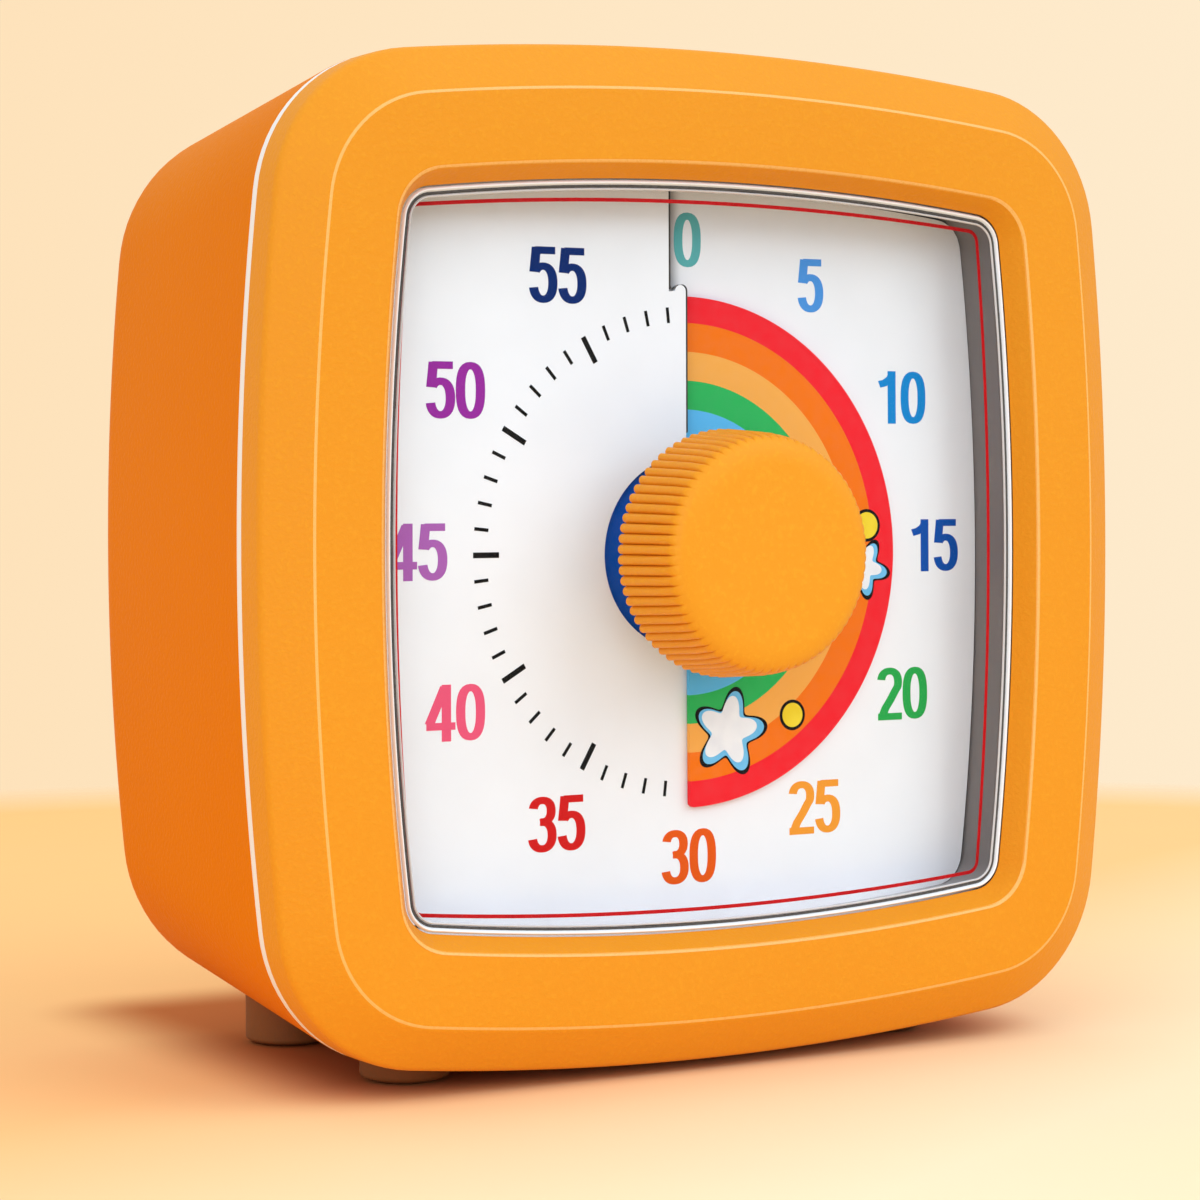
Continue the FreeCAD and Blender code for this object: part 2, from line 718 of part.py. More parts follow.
def part_cylinder(name, depth, length, x, z, radius):
    """A plain cylinder along the depth axis."""
    item = DOC.addObject("Part::Cylinder", name)
    item.setExpression("Radius", str(radius))
    item.setExpression("Height", str(length))
    item.Placement.Rotation = FreeCAD.Rotation(FreeCAD.Vector(1, 0, 0), -90)
    place(item, x, depth, z)
    return item


def part_box(name, depth, length, x0, x1, z0, z1):
    """A plain block between limits."""
    item = DOC.addObject("Part::Box", name)
    item.setExpression("Length", f"{x1} - ({x0})")
    item.setExpression("Width", str(length))
    item.setExpression("Height", f"{z1} - ({z0})")
    place(item, x0, depth, z0)
    return item


def place(item, x, y, z):
    """Bind an object's position."""
    item.setExpression("Placement.Base.x", str(x))
    item.setExpression("Placement.Base.y", str(y))
    item.setExpression("Placement.Base.z", str(z))
    DOC.recompute()


def dial_surface(turn):
    """Depth of the dial's middle surface at an angle from 12 o'clock."""
    return f"(Sizes.dial_depth - Sizes.dial_pitch * ({turn}) / 360)"


def make_dial():
    """White dial: one helical turn with a slit at 12 o'clock, on four posts."""
    total = "(360 + Sizes.dial_overlap_angle)"
    plate = helical_plate("dial", "3", "60", "Sizes.dial_plate", total)
    face_forward(plate, "-Sizes.dial_overlap_angle",
                 dial_surface("-Sizes.dial_overlap_angle"), AXIS_Z)
    outline = new_body("dial_outline")
    bowed_block(outline, "0", "20", DIAL_HALF, f"({WINDOW_CORNER} - Sizes.well_wall - Sizes.fit)")
    dial = boolean("Common", "dial_trimmed", plate, outline)
    hole = part_cylinder("dial_hole", "0", "20", "0", AXIS_Z, "Sizes.dial_hole")
    dial = boolean("Cut", "dial_with_hole", dial, hole)
    step_back = f"{dial_surface('360')} + Sizes.dial_pitch / 2"
    step = part_box("slit_step", "0", step_back, "-Sizes.slit_step", "2",
                    f"({AXIS_Z} + Sizes.slit_turn)", "Sizes.case_half")
    dial = boolean("Cut", "dial_with_step", dial, step)
    for number, turn in enumerate((45, 135, 225, 315)):
        x = f"(Sizes.dial_post_offset * {math.sqrt(2) * math.sin(math.radians(turn)):.6f})"
        z = f"({AXIS_Z} + Sizes.dial_post_offset * {math.sqrt(2) * math.cos(math.radians(turn)):.6f})"
        top = dial_surface(str(turn))
        post = part_cylinder(f"dial_post_{number}", top, f"Sizes.chassis_depth - {top}", x, z,
                             "Sizes.dial_post_radius")
        dial = boolean("Fuse", "dial_with_post", dial, post)
    register(grouped("dial_piece", [dial]), "dial")


def make_colour_disc():
    """Colour disc: one helical turn at half a pitch from the dial, on its collar."""
    plate = helical_plate("disc", "Sizes.collar_radius - 0.4", "Sizes.disc_radius",
                          "Sizes.disc_plate", "359.6")
    face_forward(plate, "180.2", "Sizes.dial_depth", "0")
    front = "(Sizes.dial_depth - Sizes.dial_pitch / 2 - Sizes.collar_length / 2)"
    collar = part_cylinder("disc_collar", front, "Sizes.collar_length", "0", "0",
                           "Sizes.collar_radius")
    disc = boolean("Fuse", "disc_with_collar", plate, collar)
    bore = new_body("disc_bore")
    d_shape(bore, front, "Sizes.collar_length", "Sizes.running")
    disc = boolean("Cut", "disc_with_bore", disc, bore)
    register(grouped("disc_piece", [disc]), "colour_disc", z=AXIS_Z)


def d_shape(body, depth, length, clearance):
    """Pad the spindle's D-shaped section, grown by a clearance."""
    sketch = plane_sketch(body, depth)
    draw_d(sketch, f"(Sizes.spindle_radius + {clearance})", f"(Sizes.spindle_flat + {clearance})")
    return pad(body, sketch, length)


def draw_d(sketch, radius, flat):
    """Draw a round section with a flat on its upper side."""
    radius_now, flat_now = value(radius), value(flat)
    rise = math.asin(flat_now / radius_now)
    centre = FreeCAD.Vector(0, 0, 0)
    circle = Part.Circle(centre, FreeCAD.Vector(0, 0, 1), radius_now)
    sketch.addGeometry(Part.ArcOfCircle(circle, math.pi - rise, 2 * math.pi + rise), False)
    across = math.sqrt(radius_now ** 2 - flat_now ** 2)
    left, right = FreeCAD.Vector(-across, flat_now, 0), FreeCAD.Vector(across, flat_now, 0)
    sketch.addGeometry(Part.LineSegment(right, left), False)
    sketch.addConstraint(Sketcher.Constraint("Coincident", 0, 2, 1, 1))
    sketch.addConstraint(Sketcher.Constraint("Coincident", 1, 2, 0, 1))
    sketch.addConstraint(Sketcher.Constraint("Coincident", 0, 3, -1, 1))
    sketch.addConstraint(Sketcher.Constraint("Horizontal", 1))
    bind(sketch, radius, "Radius", 0)
    bind(sketch, flat, "DistanceY", -1, 1, 1, 1)


def make_knob():
    body = new_body("knob")
    length = f"({KNOB_BACK} + Sizes.knob_front)"
    front = "-Sizes.knob_front"
    drum = add_cylinder(body, front, length, "0", "0", "Sizes.knob_radius")
    fillet(body, drum, "Sizes.knob_round", edge_at_depth(front))
    groove = cut_cylinder(body, f"{front} + Sizes.knob_round * 0.6", length,
                          "0", "Sizes.knob_radius + 0.08", "Sizes.knob_rib_radius")
    polar(body, groove, "Sizes.knob_rib_count")
    add_cylinder(body, KNOB_BACK, f"{BOSS_BACK} - {KNOB_BACK}", "0", "0",
                 "Sizes.knob_boss_radius")
    socket = plane_sketch(body, f"{BOSS_BACK} - Sizes.knob_boss_length - Sizes.knob_gap"
                                " - Sizes.knob_socket")
    draw_d(socket, "(Sizes.spindle_radius + Sizes.press)", "(Sizes.spindle_flat + Sizes.press)")
    pocket(body, socket, "30")
    register(body, "knob", z=AXIS_Z)


def make_spindle():
    body = new_body("spindle")
    front = f"({KNOB_BACK} - Sizes.knob_socket + 0.2)"
    d_shape(body, front, f"Sizes.chassis_depth - 0.1 - {front}", "0")
    back = f"({SPINDLE_BACK})"
    add_cylinder(body, "Sizes.chassis_depth - 0.1", f"{back} - Sizes.chassis_depth + 0.1",
                 "0", "0", "Sizes.spindle_radius")
    groove = plane_sketch(body, f"{LID_BACK} + 0.3")
    draw_circle(groove, "0", "0", "Sizes.spindle_radius + 1")
    draw_circle(groove, "0", "0", "Sizes.spindle_radius - 0.4")
    pocket(body, groove, "Sizes.clip_width")
    register(body, "spindle", z=AXIS_Z)


def make_spindle_clip():
    body = new_body("spindle_clip")
    add_cylinder(body, f"{LID_BACK} + 0.35", "Sizes.clip_width - 0.1", "0", "0",
                 "Sizes.clip_radius")
    cut_cylinder(body, f"{LID_BACK} + 0.35", "Sizes.clip_width - 0.1", "0", "0",
                 "Sizes.spindle_radius - 0.4")
    cut_block(body, f"{LID_BACK} + 0.35", "Sizes.clip_width - 0.1", "-1.2", "1.2", "0",
              "Sizes.clip_radius + 1")
    register(body, "spindle_clip", z=AXIS_Z)


def make_bush():
    body = new_body("spindle_bush")
    flange = "(Sizes.chassis_depth - Sizes.bush_flange_depth)"
    back = f"({CHASSIS_BACK} + Sizes.movement_wall)"
    add_cylinder(body, CHASSIS_BACK + " - Sizes.bush_flange_depth", "Sizes.bush_flange_depth",
                 "0", "0", "Sizes.bush_flange")
    add_cylinder(body, "Sizes.chassis_depth", f"{back} - Sizes.chassis_depth", "0", "0",
                 "Sizes.bush_radius")
    cut_cylinder(body, flange, "20", "0", "0", "Sizes.spindle_radius + Sizes.running")
    register(body, "spindle_bush", z=AXIS_Z)


def make_chassis():
    """Plate behind the dial that carries the dial, movement and case screws."""
    body = new_body("chassis")
    bowed_block(body, "Sizes.chassis_depth", "Sizes.chassis_plate", CHASSIS_HALF,
                "(Sizes.corner_radius + Sizes.corner_slack - Sizes.chassis_margin)")
    for x, z in four_corners("Sizes.case_screw_offset", "Sizes.case_screw_offset"):
        add_cylinder(body, CHASSIS_BACK, "Sizes.case_boss_length", x, z, "Sizes.case_tube_radius")
        cut_cylinder(body, f"{TUBE_FRONT} - Sizes.screw_bite - 0.5", "20", x, z,
                     "Sizes.screw_radius + Sizes.press")
    for x, z in four_corners(BEZEL_SCREW_X, "Sizes.bezel_screw_height"):
        cut_cylinder(body, "Sizes.chassis_depth", "20", x, z, "Sizes.screw_radius + Sizes.screw_gap")
    cut_cylinder(body, "Sizes.chassis_depth", "20", "0", AXIS_Z, "Sizes.bush_radius + Sizes.press")
    cut_cylinder(body, CHASSIS_BACK + " - Sizes.bush_flange_depth", "20", "0", AXIS_Z,
                 "Sizes.bush_flange + Sizes.press")
    for x, z in MOVEMENT_HOLES:
        cut_cylinder(body, "Sizes.chassis_depth", "20", x, z, "Sizes.screw_radius + Sizes.press")
    register(body, "chassis")


MOVEMENT_EAR = "(Sizes.movement_across + Sizes.movement_ear_reach)"
MOVEMENT_HOLES = [(f"{side}{MOVEMENT_EAR}", level) for side in ("", "-")
                  for level in (f"({AXIS_Z} - 8)", f"({AXIS_Z} + 14)")]
LID_SCREWS = [(f"{side}(Sizes.movement_across - Sizes.lid_screw_inset)", level)
              for side in ("", "-")
              for level in (f"({AXIS_Z} - Sizes.movement_below + Sizes.lid_screw_inset)",
                            f"({AXIS_Z} + Sizes.movement_above - Sizes.lid_screw_inset)")]


def make_movement_case():
    """Gear housing: an open box with two screw ears on each side."""
    body = new_body("movement_case")
    limits = ("-Sizes.movement_across", "Sizes.movement_across",
              f"({AXIS_Z} - Sizes.movement_below)", f"({AXIS_Z} + Sizes.movement_above)")
    inner = [f"({limit} {sign} Sizes.movement_wall)" for limit, sign in zip(limits, "+-+-")]
    add_block(body, CHASSIS_BACK, "Sizes.movement_depth", *limits)
    cut_block(body, f"{CHASSIS_BACK} + Sizes.movement_wall", "40", *inner)
    for x, z in MOVEMENT_HOLES:
        side = "-" if x.startswith("-") else ""
        near = f"{side}(Sizes.movement_across - 0.5)"
        far = f"{side}({MOVEMENT_EAR} + Sizes.movement_ear_half)"
        first, last = (far, near) if side else (near, far)
        add_block(body, CHASSIS_BACK, "Sizes.movement_wall", first, last,
                  f"{z} - Sizes.movement_ear_half", f"{z} + Sizes.movement_ear_half")
        cut_cylinder(body, CHASSIS_BACK, "5", x, z, "Sizes.screw_radius + Sizes.screw_gap")
    for x, z in LID_SCREWS:
        add_cylinder(body, f"{CHASSIS_BACK} + Sizes.movement_wall - 0.2",
                     "Sizes.movement_depth - Sizes.movement_wall + 0.2", x, z,
                     "Sizes.lid_boss_radius")
        cut_cylinder(body, f"{MOVEMENT_BACK} - Sizes.screw_bite", "20", x, z,
                     "Sizes.screw_radius + Sizes.press")
    cut_cylinder(body, CHASSIS_BACK, "10", "0", AXIS_Z, "Sizes.bush_radius + Sizes.press")
    cut_cylinder(body, f"{CHASSIS_BACK} + Sizes.movement_wall / 2", "5", "0", IDLER_Z,
                 "Sizes.arbor_radius + Sizes.running")
    register(body, "movement_case")


def make_movement_lid():
    body = new_body("movement_lid")
    add_block(body, MOVEMENT_BACK, "Sizes.movement_lid", "-Sizes.movement_across",
              "Sizes.movement_across", f"({AXIS_Z} - Sizes.movement_below)",
              f"({AXIS_Z} + Sizes.movement_above)")
    for x, z in LID_SCREWS:
        cut_cylinder(body, MOVEMENT_BACK, "10", x, z, "Sizes.screw_radius + Sizes.screw_gap")
    cut_cylinder(body, MOVEMENT_BACK, "10", "0", AXIS_Z, "Sizes.spindle_radius + Sizes.running")
    cut_cylinder(body, MOVEMENT_BACK, "Sizes.movement_lid / 2", "0", IDLER_Z,
                 "Sizes.arbor_radius + Sizes.running")
    cut_cylinder(body, MOVEMENT_BACK, "10", MOTOR_X, MOTOR_Z, "Sizes.motor_shaft_gap")
    register(body, "movement_lid")


def make_gear(label, depth, width, module, teeth, bore, x, z, turn):
    """Toothed wheel. A tooth gap points up before the wheel is turned."""
    body = new_body(label)
    pitch_radius = f"({module} * {teeth} / 2)"
    tip = f"({pitch_radius} + 0.75 * {module})"
    root = f"({pitch_radius} - 1.05 * {module})"
    half_gap = f"({pitch_radius} * sin(90 deg / {teeth}) + Sizes.gear_backlash / 2)"
    slope = f"tan(20 deg + 90 deg / {teeth})"
    pitch_level = f"({pitch_radius} * cos(90 deg / {teeth}))"
    outside = f"({tip} + 0.5)"
    low = f"({half_gap} - ({pitch_level} - {root}) * {slope})"
    high = f"({half_gap} + ({outside} - {pitch_level}) * {slope})"
    add_cylinder(body, "0", width, "0", "0", tip)
    sketch = plane_sketch(body, "0")
    draw_polygon(sketch, [(f"-{low}", root), (low, root), (high, outside), (f"-{high}", outside)])
    gap = pocket(body, sketch, width)
    polar(body, gap, teeth)
    cut_cylinder(body, "0", width, "0", "0", bore)
    register(body, label, x, depth, z)
    body.Placement.Rotation = FreeCAD.Rotation(FreeCAD.Vector(0, 1, 0), turn)
    DOC.recompute()


def make_gear_train():
    """Spindle wheel, idler wheel and pinion, and the motor's pinion."""
    half_tooth = 180.0 / value("Sizes.pinion_teeth")
    make_gear("spindle_wheel", WHEEL_FRONT, "Sizes.wheel_face", "Sizes.wheel_module",
              "Sizes.wheel_teeth", "Sizes.spindle_radius + Sizes.press", "0", AXIS_Z, 0.0)
    make_gear("idler_pinion", f"({WHEEL_FRONT} - Sizes.pinion_overhang / 2)",
              f"{IDLER_FRONT} - {WHEEL_FRONT} + Sizes.pinion_overhang / 2", "Sizes.wheel_module",
              "Sizes.pinion_teeth", "Sizes.arbor_radius + Sizes.press", "0", IDLER_Z, 180.0 + half_tooth)
    make_gear("idler_wheel", IDLER_FRONT, "Sizes.wheel_face", "Sizes.idler_module",
              "Sizes.wheel_teeth", "Sizes.arbor_radius + Sizes.press", "0", IDLER_Z,
              value("Sizes.motor_angle"))
    make_gear("motor_pinion", f"({IDLER_FRONT} - Sizes.pinion_overhang / 2)",
              "Sizes.wheel_face + Sizes.pinion_overhang", "Sizes.idler_module",
              "Sizes.pinion_teeth", "Sizes.arbor_radius + Sizes.press", MOTOR_X, MOTOR_Z,
              value("Sizes.motor_angle") + 180.0 + half_tooth)
    arbor = new_body("idler_arbor")
    front = f"({CHASSIS_BACK} + Sizes.movement_wall / 2 + 0.1)"
    add_cylinder(arbor, front, f"{MOVEMENT_BACK} + Sizes.movement_lid / 2 - 0.1 - {front}",
                 "0", "0", "Sizes.arbor_radius")
    register(arbor, "idler_arbor", z=IDLER_Z)


def make_motor():
    """Sealed geared motor on the lid, and its output shaft."""
    body = new_body("geared_motor")
    add_cylinder(body, LID_BACK, "Sizes.motor_depth", "0", "0", "Sizes.motor_radius")
    fillet(body, body.Tip, "Sizes.motor_round", edge_at_depth(f"{LID_BACK} + Sizes.motor_depth"))
    cut_cylinder(body, LID_BACK, "Sizes.motor_depth / 2", "0", "0",
                 "Sizes.arbor_radius + Sizes.running")
    register(body, "geared_motor", MOTOR_X, z=MOTOR_Z)
    shaft = new_body("motor_shaft")
    front = f"({IDLER_FRONT} - Sizes.pinion_overhang / 2)"
    add_cylinder(shaft, front, f"{LID_BACK} + Sizes.motor_depth / 2 - 0.2 - {front}", "0", "0",
                 "Sizes.arbor_radius")
    register(shaft, "motor_shaft", MOTOR_X, z=MOTOR_Z)


def make_alarm_contacts():
    """Notched cam on the spindle, and the leaf that drops into it at zero."""
    cam = new_body("alarm_cam")
    cam_front = f"({WHEEL_BACK} + 0.05)"
    add_cylinder(cam, cam_front, "Sizes.cam_width", "0", "0", "Sizes.cam_radius")
    cut_cylinder(cam, cam_front, "Sizes.cam_width", "0", "0", "Sizes.spindle_radius + Sizes.press")
    notch = "(Sizes.cam_radius - Sizes.cam_notch_depth)"
    cut_block(cam, cam_front, "Sizes.cam_width", "-Sizes.cam_notch_half", "Sizes.cam_notch_half",
              notch, "Sizes.cam_radius + 1")
    register(cam, "alarm_cam", z=AXIS_Z)
    leaf = new_body("contact_leaf")
    level = "(-Sizes.cam_radius - 0.3)"
    wall = "(Sizes.movement_across - Sizes.movement_wall)"
    add_block(leaf, cam_front, "Sizes.cam_width", "-1.5", wall, f"{level} - Sizes.leaf_thickness", level)
    add_block(leaf, cam_front, f"{MOVEMENT_BACK} - {cam_front}", f"{wall} - Sizes.leaf_root", wall,
              f"{level} - 1.3", f"{level} - 0.1")
    register(leaf, "contact_leaf", z=AXIS_Z)


def make_screw(name, length, x, z, head_front):
    """Pan-head screw with a cross recess. The head faces the back."""
    body = new_body(name)
    shank = add_cylinder(body, f"-({length})", length, "0", "0", "Sizes.screw_radius")
    chamfer(body, shank, "Sizes.screw_tip", edge_at_depth(f"-({length})"))
    head = add_cylinder(body, "0", "Sizes.screw_head_depth", "0", "0", "Sizes.screw_head_radius")
    fillet(body, head, "Sizes.screw_head_round", edge_at_depth("Sizes.screw_head_depth"))
    slot = "Sizes.screw_head_depth - Sizes.screw_recess_depth"
    web = ("-Sizes.screw_recess_web", "Sizes.screw_recess_web")
    reach = ("-Sizes.screw_recess_half", "Sizes.screw_recess_half")
    cut_block(body, slot, "3", *web, *reach)
    cut_block(body, slot, "3", *reach, *web)
    place(body, x, head_front, z)
    return body


def screw_group(label, length, places, head_front):
    """Identical screws in one sub-part."""
    screws = [make_screw(label, length, x, z, head_front) for x, z in places]
    register(grouped(f"{label}_group", screws), label)


def make_screws():
    """Every screw group of the timer."""
    case_places = four_corners("Sizes.case_screw_offset", "Sizes.case_screw_offset")
    screw_group("case_screws", "Sizes.case_tube_floor + Sizes.screw_bite", case_places,
                f"{TUBE_FRONT} + Sizes.case_tube_floor")
    bezel_places = four_corners(BEZEL_SCREW_X, "Sizes.bezel_screw_height")
    screw_group("bezel_screws", "Sizes.chassis_plate + Sizes.screw_bite - 1", bezel_places,
                CHASSIS_BACK)
    screw_group("movement_screws", "Sizes.movement_wall + Sizes.chassis_plate - 0.1",
                MOVEMENT_HOLES, f"{CHASSIS_BACK} + Sizes.movement_wall")
    screw_group("lid_screws", "Sizes.movement_lid + Sizes.screw_bite - 0.4", LID_SCREWS, LID_BACK)


def make_board_screws():
    """Board screws: their heads face the front."""
    screws = []
    for x, z in BOARD_HOLES:
        screw = make_screw("board_screws", "Sizes.board_plate + Sizes.board_behind - 1.4",
                           x, z, BOARD_FRONT)
        screw.Placement.Rotation = FreeCAD.Rotation(FreeCAD.Vector(0, 0, 1), 180)
        screws.append(screw)
    register(grouped("board_screws_group", screws), "board_screws")


def make_battery():
    """Single cylindrical cell lying across the case, plus end to the right."""
    body = new_body("battery_cell")
    sketch = plane_sketch(body, "0", "YZ_Plane")
    draw_circle(sketch, "0", "0", "Sizes.cell_radius")
    can = body.newObject("PartDesign::Pad", "Can")
    can.Profile = sketch
    can.Midplane = True
    can.setExpression("Length", "Sizes.cell_length - 2")
    DOC.recompute()
    rim = edges_at_x("Sizes.cell_length / 4")
    fillet(body, can, "Sizes.cell_rim_round", rim)
    tip = plane_sketch(body, "Sizes.cell_length / 2 - Sizes.cell_tip_length", "YZ_Plane")
    draw_circle(tip, "0", "0", "Sizes.cell_tip_radius")
    nub = body.newObject("PartDesign::Pad", "Nub")
    nub.Profile = tip
    nub.setExpression("Length", "Sizes.cell_tip_length")
    DOC.recompute()
    register(body, "battery_cell", "0", CELL_DEPTH, "Sizes.cell_height")


def edges_at_x(inner):
    """Test for the flat edges beyond a distance to either side."""
    limit = value(inner)

    def test(edge):
        box = edge.BoundBox
        return box.XLength < 1e-3 and abs(box.XMin) > limit
    return test


def make_contacts():
    """Spring contact at the minus end and plate contact at the plus end."""
    plate_half = "(Sizes.cell_radius - Sizes.contact_inset)"
    plus = new_body("battery_plate_contact")
    add_block(plus, f"{CELL_DEPTH} - {plate_half}", f"2 * {plate_half}",
              f"{BAY_HALF} - Sizes.contact_plate", BAY_HALF, f"(Sizes.cell_height - {plate_half})",
              f"(Sizes.cell_height + {plate_half})")
    dimple = "Sizes.contact_dimple_half"
    add_block(plus, f"{CELL_DEPTH} - {dimple}", f"2 * {dimple}", "Sizes.cell_length / 2", BAY_HALF,
              f"Sizes.cell_height - {dimple}", f"Sizes.cell_height + {dimple}")
    register(plus, "battery_plate_contact")
    minus = new_body("battery_spring_contact")
    add_block(minus, f"{CELL_DEPTH} - {plate_half}", f"2 * {plate_half}", f"-{BAY_HALF}",
              f"-{BAY_HALF} + Sizes.contact_plate", f"(Sizes.cell_height - {plate_half})",
              f"(Sizes.cell_height + {plate_half})")
    register(minus, "battery_spring_plate")


def make_battery_spring():
    """Coil between the spring plate and the cell's minus end."""
    room = "(Sizes.contact_space + 1 - Sizes.contact_plate)"
    height = f"({room} - 2 * Sizes.spring_wire - 0.04)"
    helix = DOC.addObject("Part::Helix", "battery_coil")
    helix.setExpression("Radius", "Sizes.coil_radius")
    helix.setExpression("Height", height)
    helix.setExpression("Pitch", f"{height} / Sizes.coil_turns")
    profile = DOC.addObject("Part::RegularPolygon", "battery_coil_wire")
    profile.Polygon = 12
    profile.setExpression("Circumradius", "Sizes.spring_wire")
    profile.Placement.Rotation = FreeCAD.Rotation(FreeCAD.Vector(1, 0, 0), 90)
    place(profile, "Sizes.coil_radius", "0", "0")
    coil = DOC.addObject("Part::Sweep", "battery_coil_sweep")
    coil.Sections = [profile]
    coil.Spine = (helix, ["Edge1"])
    coil.Solid = True
    coil.Frenet = True
    coil.Placement.Rotation = FreeCAD.Rotation(FreeCAD.Vector(0, 1, 0), 90)
    place(coil, f"-{BAY_HALF} + Sizes.contact_plate + Sizes.spring_wire + 0.02", CELL_DEPTH,
          "Sizes.cell_height")
    register(grouped("battery_spring_group", [coil]), "battery_spring")


def make_battery_door():
    """Cover plate with two tongues below and a snap tab above."""
    body = new_body("battery_door")
    gap = "Sizes.fit"
    low = f"(Sizes.cell_height - {BAY_TALL} + {gap})"
    high = f"(Sizes.cell_height + {BAY_TALL} + Sizes.door_rim - {gap})"
    side = f"({BAY_HALF} + Sizes.door_rim - {gap})"
    add_block(body, f"{DOOR_FRONT} + Sizes.press", "Sizes.door_plate - 0.02", f"-{side}", side, low, high)
    grip = f"({CASE_BACK} - Sizes.door_grip_depth)"
    for number in range(3):
        level = f"({high} - Sizes.door_grip_inset - {number} * Sizes.door_grip_pitch)"
        cut_block(body, grip, "2", "-Sizes.door_grip_half", "Sizes.door_grip_half",
                  f"{level} - Sizes.door_grip_width", f"{level} + Sizes.door_grip_width")
    tongue = f"({DOOR_FRONT} - Sizes.door_tongue_reach)"
    for side in ("", "-"):
        first = f"({side}Sizes.door_tongue_across - Sizes.door_tongue_half)"
        last = f"({side}Sizes.door_tongue_across + Sizes.door_tongue_half)"
        add_block(body, tongue, "Sizes.door_tongue_reach + 0.1", first, last, low, f"{low} + 1.5")
        add_block(body, tongue, "Sizes.door_tongue_reach - 0.1", first, last,
                  f"{low} - Sizes.door_tongue_reach", f"{low} + 0.5")
    register(body, "battery_door")


def make_board():
    """Circuit board behind the movement, with its parts."""
    body = new_body("circuit_board")
    add_block(body, BOARD_FRONT, "Sizes.board_plate", "-Sizes.board_across", "Sizes.board_across",
              "Sizes.board_low", "Sizes.board_high")
    for x, z in BOARD_HOLES:
        cut_cylinder(body, BOARD_FRONT, "5", x, z, "Sizes.screw_radius + Sizes.screw_gap")
    register(body, "circuit_board")
    chip = new_body("controller_chip")
    add_block(chip, f"{BOARD_FRONT} - Sizes.chip_depth", "Sizes.chip_depth",
              "(-2 - Sizes.chip_width)", "-2", "Sizes.board_low + 4",
              "Sizes.board_low + 4 + Sizes.chip_tall")
    register(chip, "controller_chip")
    crystal = new_body("quartz_crystal")
    add_cylinder(crystal, f"{BOARD_FRONT} - Sizes.crystal_length", "Sizes.crystal_length", "6",
                 "Sizes.board_low + 6", "Sizes.crystal_radius")
    register(crystal, "quartz_crystal")
    capacitor = new_body("capacitor")
    add_cylinder(capacitor, f"{BOARD_FRONT} - Sizes.capacitor_length", "Sizes.capacitor_length",
                 "2", "Sizes.board_low + 14", "Sizes.capacitor_radius")
    register(capacitor, "capacitor")


def make_sounder():
    """Buzzer between the board and the sound holes."""
    body = new_body("sounder")
    add_cylinder(body, BOARD_BACK, "Sizes.board_behind - 0.3", "0", "Sizes.sounder_height",
                 "Sizes.sounder_radius")
    cut_cylinder(body, f"{BACK_WALL} - Sizes.sounder_port_depth", "10", "0",
                 "Sizes.sounder_height", "Sizes.sounder_port_radius")
    register(body, "sounder")


def make_switch():
    """Slide switch on the board, and its slider in the back wall's slot."""
    body = new_body("sound_switch")
    half = "(Sizes.switch_width / 2)"
    back = f"({BACK_WALL} - 0.9)"
    add_block(body, BOARD_BACK, f"{back} - {BOARD_BACK}", f"-{half}", half,
              "Sizes.switch_height - Sizes.switch_tall / 2",
              "Sizes.switch_height + Sizes.switch_tall / 2")
    reach = "(Sizes.switch_travel + Sizes.slider_width / 2 + 0.2)"
    cut_block(body, f"{back} - 2", "5", f"-{reach}", reach, *SLOT_LEVELS)
    register(body, "sound_switch")
    slider = new_body("sound_slider")
    width = "(Sizes.slider_width / 2)"
    add_block(slider, f"{back} - 1.95", f"{CASE_BACK} - 0.1 - {back} + 1.95", f"-{width}", width,
              "Sizes.switch_height - Sizes.slider_half_tall",
              "Sizes.switch_height + Sizes.slider_half_tall")
    register(slider, "sound_slider")


def make_feet():
    """Rubber feet, one pair in front and a taller pair behind."""
    for label, depth in (("front_feet", "Sizes.front_foot_depth"),
                         ("rear_feet", "Sizes.rear_foot_depth")):
        feet = []
        for side in ("", "-"):
            foot = DOC.addObject("Part::Cylinder", f"{label}_peg")
            foot.setExpression("Radius", "Sizes.foot_radius")
            base = "(-Sizes.case_half - Sizes.foot_gap)"
            foot.setExpression("Height", f"{underside(depth)} + Sizes.foot_seat - {base}")
            place(foot, f"{side}Sizes.foot_across", depth, base)
            feet.append(foot)
        register(grouped(f"{label}_group", feet), label)


def check_document():
    """Stop if any object failed or any sub-part's shape isn't sound."""
    DOC.recompute()
    for item in DOC.Objects:
        if "Invalid" in item.State or "Error" in item.State:
            raise RuntimeError(f"{item.Label}: {item.State}")
    for part in SUB_PARTS:
        if part.Shape.isNull() or not part.Shape.isValid():
            raise RuntimeError(f"{part.Label}: unsound shape")


def export_parts():
    """Write each sub-part's shape to its own STEP file."""
    os.makedirs("parts", exist_ok=True)
    for part in SUB_PARTS:
        part.Shape.exportStep(os.path.join("parts", f"{part.Label}.step"))


def build():
    """Build the document, check it and write the files."""
    fill_sheet()
    makers = (make_front_bezel, make_seam_ring, make_rear_housing, make_window, make_well,
              make_dial, make_colour_disc, make_knob, make_spindle, make_spindle_clip, make_bush,
              make_chassis, make_movement_case, make_movement_lid, make_gear_train, make_motor,
              make_alarm_contacts, make_screws, make_board_screws, make_battery, make_contacts,
              make_battery_spring, make_battery_door, make_board, make_sounder, make_switch,
              make_feet)
    for maker in makers:
        maker()
    check_document()
    export_parts()


if __name__ == "__main__":
    build()
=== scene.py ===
"""Looks of a visual countdown timer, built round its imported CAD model.

Sizes are in millimetres about the case centre on the crease plane of the
bezel: x to the right, y as the depth behind that plane, z up. to_frame puts
them into the row frame in metres.
"""

import logging
import math
from dataclasses import dataclass
from enum import Enum
from itertools import product
from typing import Optional, Sequence, Union

